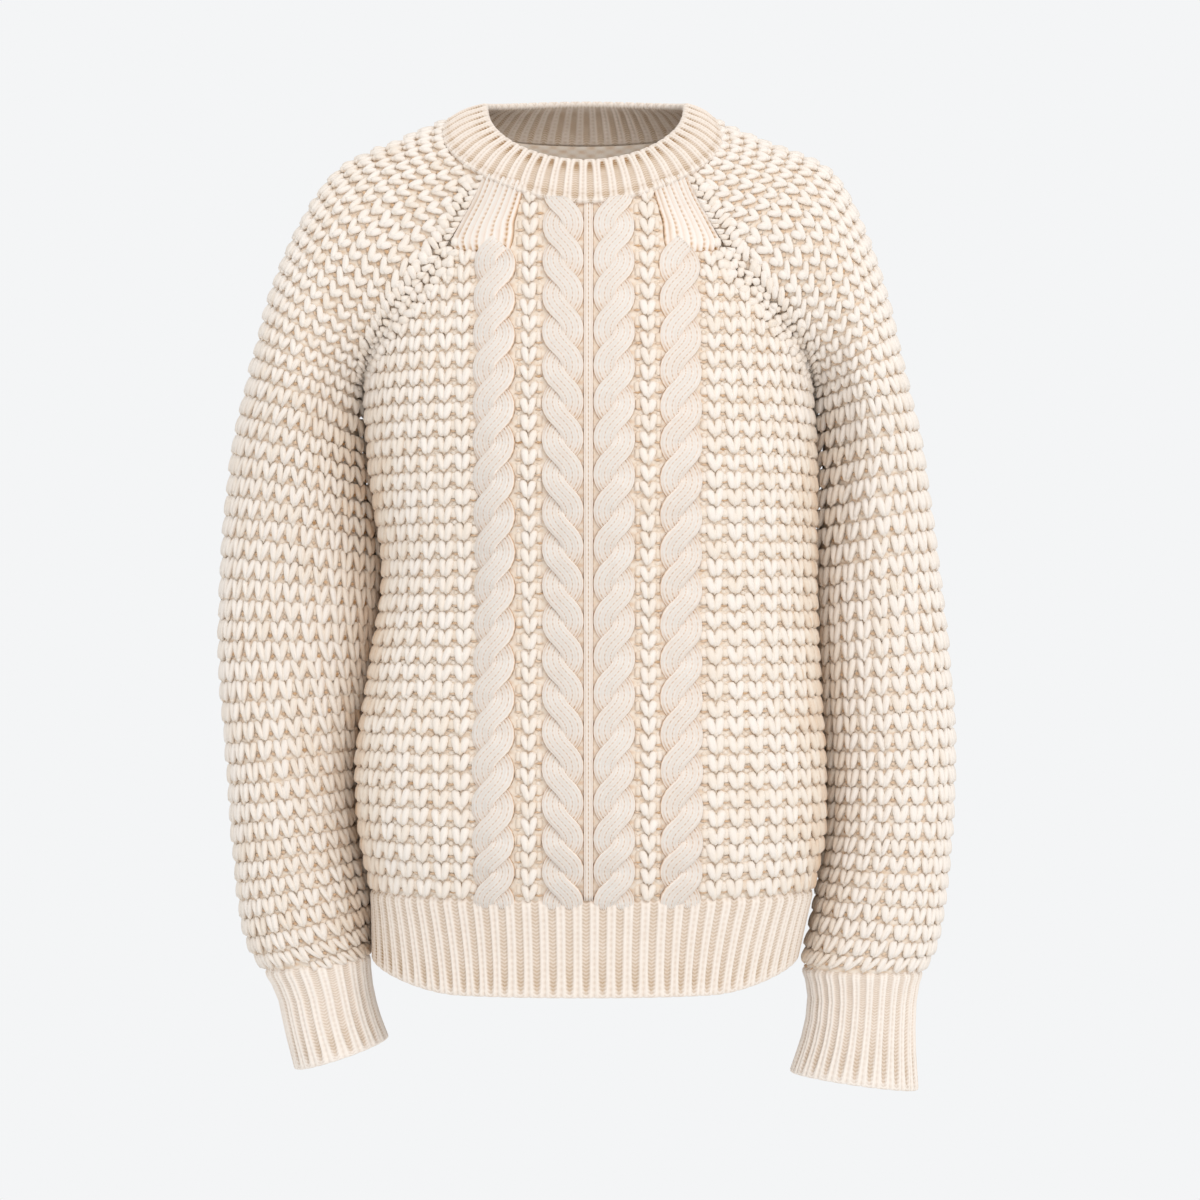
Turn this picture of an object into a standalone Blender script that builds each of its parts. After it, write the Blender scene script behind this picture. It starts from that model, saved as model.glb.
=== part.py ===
from collections import namedtuple

import bmesh
import bpy
import numpy as np

# A raglan crew-neck sweater in thick cable knit, worn open: a hollow front and back, two hanging
# sleeves, a folded neckband and ribbed edges.
# Metres, +Z up. The front faces -Y and the wearer's left is +X. The origin is the middle of the
# neck opening, at the height where the neckband crosses the top of the shoulders.

# ---------------------------------------------------------------- driving dimensions
WAFFLE_WALL = 0.0040        # thick waffle and cable knit of the front, back and sleeves
RIB_WALL = 0.0035           # ribbed hem and cuffs
NECKBAND_WALL = 0.0062      # the neckband is folded double
SEAM_GAP = 0.0003           # free space between two sewn pieces
SHARPEST_CORNER = 0.3       # keeps a pointed corner from being drawn far into its piece

HEM_Z = -0.646              # lower edge of the hem
HEM_RIB_TOP_Z = -0.577      # where the hem rib starts
UNDERARM_Z = -0.205         # where the raglan seams meet the side seams

NECK_DROP_FRONT = 0.0705    # the neck seam falls this far from the shoulder to the front
NECK_DROP_BACK = 0.004
BAND_TOP_SIDE_Z = 0.0125    # upper edge of the neckband over the shoulder
BAND_FALL_FRONT = 0.0515    # and how far it falls to the front
BAND_RISE_BACK = 0.011      # and rises to the back
BAND_TOP_HALF_WIDTH = 0.0745
BAND_TOP_FRONT = 0.072
BAND_TOP_BACK = 0.062
BAND_CROWN = 0.0015         # the band bows out between its seam and its upper edge

RAGLAN_FRONT_ANGLE = 46.0   # degrees round from the front centre, where the seam leaves the neck
RAGLAN_FRONT_SWEEP = 20.0   # the seam turns outwards evenly by this much on its way down
RAGLAN_BACK_ANGLE = 140.0
RAGLAN_BACK_SWEEP = 22.0
NECK_DIP_FADE = 1.5         # how fast the panels' rows straighten out below the neck seam
NECK_PULL_ROWS = 2.5        # over these rows the sleeve's top leaves the shape of the neck seam

# Level sections of the torso: its half widths to the wearer's right and left, how far it reaches
# to the front and to the back of the origin, and how square it is (2 is an ellipse).
TORSO_COLUMNS = ("z", "right", "left", "front", "back", "power")
TORSO = np.array([
    (-0.660, 0.1605, 0.1555, 0.1120, 0.1085, 2.25),
    (HEM_Z, 0.1605, 0.1560, 0.1120, 0.1085, 2.25),
    (-0.612, 0.1605, 0.1625, 0.1130, 0.1095, 2.25),
    (HEM_RIB_TOP_Z, 0.1620, 0.1705, 0.1170, 0.1130, 2.25),
    (-0.540, 0.1690, 0.1785, 0.1235, 0.1180, 2.30),
    (-0.490, 0.1725, 0.1795, 0.1250, 0.1170, 2.30),
    (-0.415, 0.1630, 0.1755, 0.1220, 0.1080, 2.25),
    (-0.340, 0.1530, 0.1730, 0.1240, 0.1040, 2.20),
    (-0.270, 0.1620, 0.1735, 0.1290, 0.1100, 2.20),
    (UNDERARM_Z, 0.1660, 0.1700, 0.1240, 0.1160, 2.20),
    (-0.160, 0.1610, 0.1640, 0.1150, 0.1150, 2.20),
    (-0.120, 0.1500, 0.1500, 0.1050, 0.1110, 2.15),
    (-0.090, 0.1380, 0.1380, 0.0970, 0.1050, 2.10),
    (-0.060, 0.1260, 0.1240, 0.0895, 0.0980, 2.05),
    (-0.030, 0.1140, 0.1110, 0.0850, 0.0900, 2.00),
    (0.000, 0.1035, 0.0970, 0.0800, 0.0820, 2.00),
    (0.030, 0.0950, 0.0900, 0.0750, 0.0750, 2.00),
])

# Sections of the sleeves, from the neck seam to the cuff's mouth. Each goes round from the inner
# point to the outer one, and reaches that far to the front and to the back of its middle. The
# first RAGLAN_STEPS + 1 rows are open: they start and end on the raglan seams, and their inner
# points only lead into the closed sections below.
SLEEVE_COLUMNS = ("out_x", "out_z", "mid_y", "front", "back", "in_x", "in_z")
RAGLAN_STEPS = 5
CUFF_ROW = 14               # the row where the cuff is sewn on
RIGHT_SLEEVE = np.array([
    (0.1035, 0.0000, 0.004, 0.0706, 0.0690, 0.1660, -0.1300),
    (0.1430, -0.0165, 0.004, 0.0745, 0.0775, 0.1660, -0.1450),
    (0.1840, -0.0370, 0.003, 0.0755, 0.0810, 0.1660, -0.1600),
    (0.2105, -0.0720, 0.002, 0.0740, 0.0800, 0.1660, -0.1750),
    (0.2350, -0.1270, 0.001, 0.0690, 0.0730, 0.1660, -0.1900),
    (0.2515, -0.1900, 0.000, 0.0640, 0.0640, 0.1660, UNDERARM_Z),
    (0.2645, -0.2380, 0.010, 0.0610, 0.0620, 0.1670, -0.2450),
    (0.2725, -0.2900, 0.020, 0.0570, 0.0590, 0.1595, -0.2920),
    (0.2772, -0.3450, 0.026, 0.0530, 0.0560, 0.1530, -0.3450),
    (0.2785, -0.4100, 0.028, 0.0530, 0.0550, 0.1605, -0.4150),
    (0.2730, -0.4750, 0.026, 0.0540, 0.0550, 0.1715, -0.4800),
    (0.2675, -0.5400, 0.022, 0.0530, 0.0530, 0.1700, -0.5400),
    (0.2615, -0.5950, 0.016, 0.0500, 0.0500, 0.1620, -0.5850),
    (0.2540, -0.6220, 0.012, 0.0470, 0.0470, 0.1615, -0.6110),
    (0.2430, -0.6395, 0.009, 0.0435, 0.0435, 0.1620, -0.6270),
    (0.2325, -0.6575, 0.007, 0.0400, 0.0400, 0.1610, -0.6460),
    (0.2262, -0.6840, 0.004, 0.0400, 0.0400, 0.1560, -0.6680),
    (0.2185, -0.7125, 0.001, 0.0405, 0.0405, 0.1480, -0.6890),
])
LEFT_SLEEVE = np.array([
    (0.0970, 0.0000, 0.004, 0.0706, 0.0690, 0.1700, -0.1300),
    (0.1345, -0.0165, 0.004, 0.0745, 0.0775, 0.1700, -0.1450),
    (0.1815, -0.0370, 0.003, 0.0755, 0.0810, 0.1700, -0.1600),
    (0.2040, -0.0720, 0.002, 0.0740, 0.0800, 0.1700, -0.1750),
    (0.2240, -0.1270, 0.001, 0.0700, 0.0740, 0.1700, -0.1900),
    (0.2390, -0.1900, 0.000, 0.0670, 0.0670, 0.1700, UNDERARM_Z),
    (0.2520, -0.2400, 0.010, 0.0650, 0.0670, 0.1745, -0.2450),
    (0.2605, -0.2900, 0.020, 0.0620, 0.0640, 0.1735, -0.2920),
    (0.2685, -0.3450, 0.026, 0.0590, 0.0610, 0.1715, -0.3450),
    (0.2760, -0.4100, 0.028, 0.0570, 0.0590, 0.1740, -0.4150),
    (0.2795, -0.4750, 0.026, 0.0560, 0.0570, 0.1785, -0.4800),
    (0.2765, -0.5400, 0.022, 0.0530, 0.0530, 0.1790, -0.5400),
    (0.2700, -0.5950, 0.016, 0.0490, 0.0490, 0.1710, -0.5900),
    (0.2635, -0.6230, 0.012, 0.0460, 0.0460, 0.1645, -0.6200),
    (0.2545, -0.6400, 0.009, 0.0420, 0.0420, 0.1620, -0.6370),
    (0.2490, -0.6580, 0.007, 0.0370, 0.0370, 0.1665, -0.6550),
    (0.2475, -0.6900, 0.004, 0.0340, 0.0340, 0.1635, -0.6820),
    (0.2495, -0.7290, 0.001, 0.0300, 0.0300, 0.1525, -0.7150),
])

# Folds of the sleeves: soft troughs that run down the sleeve from one row to another, at a place
# round it (0 at the front seam or underarm, 0.5 along the outside, 1 at the back seam).
FOLD_EDGE_FADE = 0.06       # no fold moves a seam: this share of the round is left to each
Fold = namedtuple("Fold", "from_row to_row place width depth")
RIGHT_FOLDS = (
    Fold(2.6, 8.4, 0.135, 0.085, 0.0085),
    Fold(2.6, 8.0, 0.865, 0.085, 0.0070),
    Fold(5.5, 11.0, 0.300, 0.060, 0.0020),
)
LEFT_FOLDS = (
    Fold(2.8, 8.6, 0.135, 0.085, 0.0080),
    Fold(2.6, 8.0, 0.865, 0.085, 0.0070),
    Fold(6.0, 12.0, 0.320, 0.060, 0.0020),
)

# How finely the pieces are divided.
PANEL_DIVISIONS = 14        # across the front and the back
SLEEVE_DIVISIONS = 20       # round a sleeve
YOKE_ROWS = 10              # from the neck seam to the underarm
TORSO_ROWS = 12             # from the underarm to the hem rib
HEM_ROWS = 3
BAND_ROWS = 3
SLEEVE_ROWS_PER_STEP = 2
CUFF_ROWS = 4
MERGE_DISTANCE = 0.00002
SHARP_ANGLE = 50.0          # edges sharper than this many degrees stay sharp in the shading

# The sewn pieces.
Piece = namedtuple("Piece", "wall colour roughness")
WAFFLE_CREAM = (0.830, 0.740, 0.630, 1.0)
RIB_CREAM = (0.800, 0.705, 0.590, 1.0)
PIECES = {
    "front_panel": Piece(WAFFLE_WALL, WAFFLE_CREAM, 0.92),
    "back_panel": Piece(WAFFLE_WALL, WAFFLE_CREAM, 0.92),
    "right_sleeve": Piece(WAFFLE_WALL, WAFFLE_CREAM, 0.92),
    "left_sleeve": Piece(WAFFLE_WALL, WAFFLE_CREAM, 0.92),
    "neckband": Piece(NECKBAND_WALL, RIB_CREAM, 0.94),
    "front_hem_rib": Piece(RIB_WALL, RIB_CREAM, 0.94),
    "back_hem_rib": Piece(RIB_WALL, RIB_CREAM, 0.94),
    "right_cuff": Piece(RIB_WALL, RIB_CREAM, 0.94),
    "left_cuff": Piece(RIB_WALL, RIB_CREAM, 0.94),
}


# ---------------------------------------------------------------- curves and sections
def smooth_curve(knots, values, at):
    """A smooth curve through values at the knots, read at one place or at many."""
    slopes = np.gradient(values, knots, axis=0)
    low = np.clip(np.searchsorted(knots, at) - 1, 0, len(knots) - 2)
    step = (knots[low + 1] - knots[low])[..., None]
    part = ((at - knots[low]) / (knots[low + 1] - knots[low]))[..., None]
    rise = part * part * (3.0 - 2.0 * part)
    leave = part * (1.0 - part) ** 2 * step
    arrive = -part * part * (1.0 - part) * step
    return (values[low] * (1.0 - rise) + values[low + 1] * rise
            + slopes[low] * leave + slopes[low + 1] * arrive)


def torso_points(z, angle):
    """Points on the torso at a height and an angle: 0 is the front centre, +90 the left side."""
    sizes = smooth_curve(TORSO[:, 0], TORSO[:, 1:], z)
    size = dict(zip(TORSO_COLUMNS[1:], np.moveaxis(sizes, -1, 0)))
    across = np.sin(angle)
    along = np.cos(angle)
    half_width = np.where(across < 0.0, size["right"], size["left"])
    depth = np.where(along > 0.0, size["front"], size["back"])
    power = size["power"]
    reach = (np.abs(across / half_width) ** power + np.abs(along / depth) ** power) ** (-1.0 / power)
    return np.stack([reach * across, -reach * along, z], axis=-1)


def neck_seam_height(angle):
    turn = np.cos(angle)
    return np.where(turn > 0.0, -NECK_DROP_FRONT * turn, NECK_DROP_BACK * turn)


def raglan_seam(start_angle, sweep, down):
    """Height and angle along a raglan seam: down is 0 at the neck and 1 at the underarm."""
    bend = (90.0 - start_angle) - np.sign(90.0 - start_angle) * sweep
    angle = np.radians(start_angle + np.sign(90.0 - start_angle) * sweep * down + bend * down ** 3)
    start_z = neck_seam_height(np.radians(start_angle))
    return start_z + (UNDERARM_Z - start_z) * down, angle


def panel_grid(start_angle, sweep, centre):
    """Front (centre 0) or back (centre 180 degrees) panel, from the neck seam to the hem rib."""
    down = np.linspace(0.0, 1.0, YOKE_ROWS + 1)
    across = np.linspace(-1.0, 1.0, PANEL_DIVISIONS + 1)
    seam_z, seam_angle = raglan_seam(start_angle, sweep, down)
    half_turn = np.abs(np.radians(centre) - seam_angle)
    angle = across[None, :] * half_turn[:, None]
    if centre:
        angle = np.radians(centre) - angle
    neck_dip = neck_seam_height(angle[0]) - seam_z[0]
    yoke_z = seam_z[:, None] + neck_dip[None, :] * ((1.0 - down) ** NECK_DIP_FADE)[:, None]
    body_z = np.linspace(UNDERARM_Z, HEM_RIB_TOP_Z, TORSO_ROWS + 1)[1:]
    z = np.concatenate([yoke_z, np.repeat(body_z[:, None], len(across), axis=1)])
    angle = np.concatenate([angle, np.repeat(angle[-1:], len(body_z), axis=0)])
    return torso_points(z, angle)


def hem_grid(centre):
    z = np.linspace(HEM_RIB_TOP_Z, HEM_Z, HEM_ROWS + 1)
    across = np.linspace(-0.5 * np.pi, 0.5 * np.pi, PANEL_DIVISIONS + 1)
    angle = np.radians(centre) - across if centre else across
    return torso_points(*np.meshgrid(z, angle, indexing="ij"))


def half_section(edge, outer, depth, forward, share):
    """Half of a sleeve's section, from a seam or the underarm (share 0) to its outer line (1)."""
    edge_depth = np.abs(edge[:, 1] - outer[:, 1])
    depth = np.maximum(depth, edge_depth)
    start = np.arcsin(np.clip(edge_depth / depth, 0.0, 1.0))
    turn = start[:, None] + (np.pi - start[:, None]) * share[None, :]
    inwards = (1.0 + np.cos(turn)) / (1.0 + np.cos(start[:, None]))
    points = outer[:, None, :] + (edge - outer)[:, None, :] * inwards[..., None]
    points[..., 1] = outer[:, None, 1] + forward * depth[:, None] * np.sin(turn)
    return points


def neck_edge(side, share):
    """The neck seam over one shoulder, from the front raglan seam to the back one."""
    angle = np.radians(RAGLAN_FRONT_ANGLE + (RAGLAN_BACK_ANGLE - RAGLAN_FRONT_ANGLE) * share)
    return torso_points(neck_seam_height(angle), side * angle)


def sleeve_grid(side, sections, folds):
    """A sleeve and its cuff: rows from the neck seam down, each from the front seam round."""
    yoke_rows = np.linspace(0.0, RAGLAN_STEPS, YOKE_ROWS + 1)
    ring_steps = (CUFF_ROW - RAGLAN_STEPS) * SLEEVE_ROWS_PER_STEP
    ring_rows = np.linspace(RAGLAN_STEPS, CUFF_ROW, ring_steps + 1)[1:]
    cuff_rows = np.linspace(CUFF_ROW, len(sections) - 1, CUFF_ROWS + 1)[1:]
    rows = np.concatenate([yoke_rows, ring_rows, cuff_rows])
    share = np.linspace(0.0, 1.0, SLEEVE_DIVISIONS + 1)

    sizes = smooth_curve(np.arange(len(sections), dtype=float), sections, rows)
    size = dict(zip(SLEEVE_COLUMNS, np.moveaxis(sizes, -1, 0)))
    outer = np.stack([side * size["out_x"], size["mid_y"], size["out_z"]], axis=-1)
    front_edge = np.stack([side * size["in_x"], size["mid_y"], size["in_z"]], axis=-1)
    back_edge = front_edge.copy()
    down = yoke_rows / RAGLAN_STEPS
    z, angle = raglan_seam(RAGLAN_FRONT_ANGLE, RAGLAN_FRONT_SWEEP, down)
    front_edge[:len(down)] = torso_points(z, side * angle)
    z, angle = raglan_seam(RAGLAN_BACK_ANGLE, RAGLAN_BACK_SWEEP, down)
    back_edge[:len(down)] = torso_points(z, side * angle)

    middle = SLEEVE_DIVISIONS // 2
    grid = np.empty((len(rows), len(share), 3))
    front_share = 2.0 * share[:middle + 1]
    back_share = 2.0 - 2.0 * share[middle:]
    grid[:, :middle + 1] = half_section(front_edge, outer, size["front"], -1.0, front_share)
    grid[:, middle:] = half_section(back_edge, outer, size["back"], 1.0, back_share)

    # The upper end follows the neck seam, and that fades out over the shoulder.
    neck_pull = neck_edge(side, share) - grid[0]
    fade = np.clip(1.0 - rows / NECK_PULL_ROWS, 0.0, 1.0) ** 2
    grid += neck_pull[None] * fade[:, None, None]
    return grid - section_normals(grid, side) * fold_depths(rows, share, folds)[..., None]


def section_normals(grid, side):
    normals = np.cross(np.gradient(grid, axis=1), np.gradient(grid, axis=0)) * -side
    return normals / np.maximum(np.linalg.norm(normals, axis=-1, keepdims=True), 1e-9)


def fold_depths(rows, share, folds):
    depths = np.zeros((len(rows), len(share)))
    edge_fade = np.clip(np.minimum(share, 1.0 - share) / FOLD_EDGE_FADE, 0.0, 1.0)
    for fold in folds:
        along = np.clip((rows - fold.from_row) / (fold.to_row - fold.from_row), 0.0, 1.0)
        across = np.exp(-((share - fold.place) / fold.width) ** 2)
        depths += fold.depth * np.sin(np.pi * along)[:, None] * (across * edge_fade)[None, :]
    return depths


def neckband_grid():
    """The neckband, row by row from its upper edge to the neck seam, right round the neck."""
    front = np.radians(np.linspace(-1.0, 1.0, PANEL_DIVISIONS + 1) * RAGLAN_FRONT_ANGLE)
    shoulder = np.radians(np.linspace(RAGLAN_FRONT_ANGLE, RAGLAN_BACK_ANGLE, SLEEVE_DIVISIONS + 1))
    half_back = np.radians(180.0 - RAGLAN_BACK_ANGLE)
    back = np.pi + np.linspace(-half_back, half_back, PANEL_DIVISIONS + 1)
    other_shoulder = 2.0 * np.pi - shoulder[::-1]
    angle = np.concatenate([front, shoulder[1:], back[1:], other_shoulder[1:]])
    turn = np.cos(angle)
    seam = torso_points(neck_seam_height(angle), angle)
    depth = np.where(turn > 0.0, BAND_TOP_FRONT, BAND_TOP_BACK)
    fall = np.where(turn > 0.0, BAND_FALL_FRONT, BAND_RISE_BACK)
    reach = ((np.sin(angle) / BAND_TOP_HALF_WIDTH) ** 2 + (turn / depth) ** 2) ** -0.5
    upper = np.stack([reach * np.sin(angle), -reach * turn, BAND_TOP_SIDE_Z - fall * turn], axis=-1)
    share = np.linspace(0.0, 1.0, BAND_ROWS + 1)[:, None, None]
    crown = np.stack([np.sin(angle), -turn, np.ones_like(turn)], axis=-1) * BAND_CROWN
    return upper + (seam - upper) * share + crown * np.sin(np.pi * share)


# ---------------------------------------------------------------- one welded form, cut into walls
def add_grid(form, grid, piece_names, piece_of_row):
    """Adds a grid of points as faces, each marked with the piece that it belongs to."""
    mark = form.faces.layers.int["piece"]
    verts = [[form.verts.new(point) for point in row] for row in grid]
    for i in range(len(verts) - 1):
        piece = piece_names.index(piece_of_row(i))
        for j in range(len(verts[0]) - 1):
            corners = [verts[i][j], verts[i + 1][j], verts[i + 1][j + 1], verts[i][j + 1]]
            face = form.faces.new(corners)
            face[mark] = piece


def build_form(names):
    """The outside of the whole garment as one surface, so that neighbours share their normals."""
    form = bmesh.new()
    form.faces.layers.int.new("piece")
    add_grid(form, panel_grid(RAGLAN_FRONT_ANGLE, RAGLAN_FRONT_SWEEP, 0.0), names,
             lambda row: "front_panel")
    add_grid(form, panel_grid(RAGLAN_BACK_ANGLE, RAGLAN_BACK_SWEEP, 180.0)[:, ::-1], names,
             lambda row: "back_panel")
    add_grid(form, hem_grid(0.0), names, lambda row: "front_hem_rib")
    add_grid(form, hem_grid(180.0)[:, ::-1], names, lambda row: "back_hem_rib")
    add_grid(form, neckband_grid(), names, lambda row: "neckband")
    cuff_start = YOKE_ROWS + (CUFF_ROW - RAGLAN_STEPS) * SLEEVE_ROWS_PER_STEP
    right = sleeve_grid(-1, RIGHT_SLEEVE, RIGHT_FOLDS)
    add_grid(form, right[:, ::-1], names,
             lambda row: "right_sleeve" if row < cuff_start else "right_cuff")
    left = sleeve_grid(1, LEFT_SLEEVE, LEFT_FOLDS)
    add_grid(form, left, names,
             lambda row: "left_sleeve" if row < cuff_start else "left_cuff")
    bmesh.ops.remove_doubles(form, verts=form.verts[:], dist=MERGE_DISTANCE)
    form.normal_update()
    return form


def edge_shift(vert, faces, gap):
    """How far a piece's edge point moves into the piece, so that half the gap is free."""
    directions = []
    for edge in vert.link_edges:
        own = [face for face in edge.link_faces if face in faces]
        if len(own) != 1 or len(edge.link_faces) < 2:
            continue
        along = edge.verts[1].co - edge.verts[0].co
        inward = own[0].normal.cross(along).normalized()
        if inward.dot(own[0].calc_center_median() - vert.co) < 0.0:
            inward.negate()
        directions.append(inward)
    if not directions:
        return vert.co * 0.0
    if len(directions) == 1:
        return directions[0] * gap
    first, second = directions[0], directions[1]
    return (first + second) * (gap / max(1.0 + first.dot(second), SHARPEST_CORNER))


def piece_wall(form, piece, wall):
    """One piece as a closed wall: its outer face, its inner face and the rim between them."""
    mark = form.faces.layers.int["piece"]
    faces = {face for face in form.faces if face[mark] == piece}
    solid = bmesh.new()
    outer = {}
    inner = {}
    verts = sorted({vert for face in faces for vert in face.verts}, key=lambda vert: vert.index)
    for vert in verts:
        place = vert.co + edge_shift(vert, faces, 0.5 * SEAM_GAP)
        outer[vert] = solid.verts.new(place)
        inner[vert] = solid.verts.new(place - vert.normal * wall)
    for face in sorted(faces, key=lambda face: face.index):
        solid.faces.new([outer[vert] for vert in face.verts])
        solid.faces.new([inner[vert] for vert in reversed(face.verts)])
        for loop in face.loops:
            if sum(other in faces for other in loop.edge.link_faces) == 1:
                add_rim(solid, outer, inner, loop.vert, loop.link_loop_next.vert)
    bmesh.ops.recalc_face_normals(solid, faces=solid.faces[:])
    return solid


def add_rim(solid, outer, inner, start, end):
    """Two triangles that close the wall's edge, split the same way on both sides of a seam."""
    if start.index < end.index:
        solid.faces.new([outer[end], outer[start], inner[end]])
        solid.faces.new([inner[end], outer[start], inner[start]])
    else:
        solid.faces.new([outer[end], outer[start], inner[start]])
        solid.faces.new([outer[end], inner[start], inner[end]])


# ---------------------------------------------------------------- objects
def wool(name, colour, roughness):
    material = bpy.data.materials.new(name)
    material.use_nodes = True
    shader = material.node_tree.nodes["Principled BSDF"]
    shader.inputs["Base Color"].default_value = colour
    shader.inputs["Roughness"].default_value = roughness
    shader.inputs["Metallic"].default_value = 0.0
    return material


def build_sweater():
    for old in list(bpy.data.objects):
        bpy.data.objects.remove(old, do_unlink=True)
    sweater = bpy.data.collections.new("cable_knit_sweater")
    bpy.context.scene.collection.children.link(sweater)

    names = list(PIECES)
    form = build_form(names)
    form.verts.index_update()
    form.faces.index_update()
    for index, (name, piece) in enumerate(PIECES.items()):
        solid = piece_wall(form, index, piece.wall)
        mesh = bpy.data.meshes.new(name)
        solid.to_mesh(mesh)
        solid.free()
        mesh.shade_smooth()
        mesh.set_sharp_from_angle(angle=np.radians(SHARP_ANGLE))
        mesh.materials.append(wool(name + "_wool", piece.colour, piece.roughness))
        sweater.objects.link(bpy.data.objects.new(name, mesh))
    form.free()


build_sweater()
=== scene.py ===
import math

import bmesh
import bpy
import numpy as np
from mathutils import Matrix, Vector


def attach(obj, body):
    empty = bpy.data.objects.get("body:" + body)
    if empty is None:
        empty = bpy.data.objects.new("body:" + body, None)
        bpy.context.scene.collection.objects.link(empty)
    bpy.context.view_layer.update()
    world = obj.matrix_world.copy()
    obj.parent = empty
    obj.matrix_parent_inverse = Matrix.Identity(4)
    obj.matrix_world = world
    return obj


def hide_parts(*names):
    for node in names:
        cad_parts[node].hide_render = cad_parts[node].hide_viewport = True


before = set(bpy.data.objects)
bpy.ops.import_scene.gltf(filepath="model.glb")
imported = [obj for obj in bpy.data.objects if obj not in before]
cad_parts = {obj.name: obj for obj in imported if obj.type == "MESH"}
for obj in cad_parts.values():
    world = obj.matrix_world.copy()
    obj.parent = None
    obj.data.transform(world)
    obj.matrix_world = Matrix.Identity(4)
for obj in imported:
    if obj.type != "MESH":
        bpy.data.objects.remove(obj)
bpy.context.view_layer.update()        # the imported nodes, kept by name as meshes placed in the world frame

random = np.random.default_rng(7)
print("frame loaded:", ", ".join(sorted(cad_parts)))

# The camera stands level with the chest and looks straight at the front.
camera = {"place": (0.0105, -2.4, -0.361), "lens": 96.0, "sensor": 36.0}
lens = bpy.data.cameras.new("camera")
lens.lens = camera["lens"]
lens.sensor_width = camera["sensor"]
lens.clip_end = 40.0
cameraObject = bpy.data.objects.new("camera", lens)
cameraObject.location = camera["place"]
cameraObject.rotation_euler = (math.radians(90.0), 0.0, 0.0)
bpy.context.scene.collection.objects.link(cameraObject)
bpy.context.scene.camera = cameraObject

# The worn form, with the same sections as the solids. Metres, front towards -Y.
body = {
    "hemZ": -0.646, "hemRibTopZ": -0.577, "underarmZ": -0.205,
    "neckDropFront": 0.0705, "neckDropBack": 0.004,
    "raglanFront": (46.0, 20.0), "raglanBack": (140.0, 22.0),
    "sections": np.array([      # z, right, left, front, back, squareness
        (-0.660, 0.1605, 0.1555, 0.1120, 0.1085, 2.25),
        (-0.646, 0.1605, 0.1560, 0.1120, 0.1085, 2.25),
        (-0.612, 0.1605, 0.1625, 0.1130, 0.1095, 2.25),
        (-0.577, 0.1620, 0.1705, 0.1170, 0.1130, 2.25),
        (-0.540, 0.1690, 0.1785, 0.1235, 0.1180, 2.30),
        (-0.490, 0.1725, 0.1795, 0.1250, 0.1170, 2.30),
        (-0.415, 0.1630, 0.1755, 0.1220, 0.1080, 2.25),
        (-0.340, 0.1530, 0.1730, 0.1240, 0.1040, 2.20),
        (-0.270, 0.1620, 0.1735, 0.1290, 0.1100, 2.20),
        (-0.205, 0.1660, 0.1700, 0.1240, 0.1160, 2.20),
        (-0.160, 0.1610, 0.1640, 0.1150, 0.1150, 2.20),
        (-0.120, 0.1500, 0.1500, 0.1050, 0.1110, 2.15),
        (-0.090, 0.1380, 0.1380, 0.0970, 0.1050, 2.10),
        (-0.060, 0.1260, 0.1240, 0.0895, 0.0980, 2.05),
        (-0.030, 0.1140, 0.1110, 0.0850, 0.0900, 2.00),
        (0.000, 0.1035, 0.0970, 0.0800, 0.0820, 2.00),
        (0.030, 0.0950, 0.0900, 0.0750, 0.0750, 2.00),
    ]),
}
neck = {
    "topSideZ": 0.0125, "fallFront": 0.0515, "riseBack": 0.011,
    "topHalfWidth": 0.0745, "topFront": 0.072, "topBack": 0.062, "crown": 0.0015,
}
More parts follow.
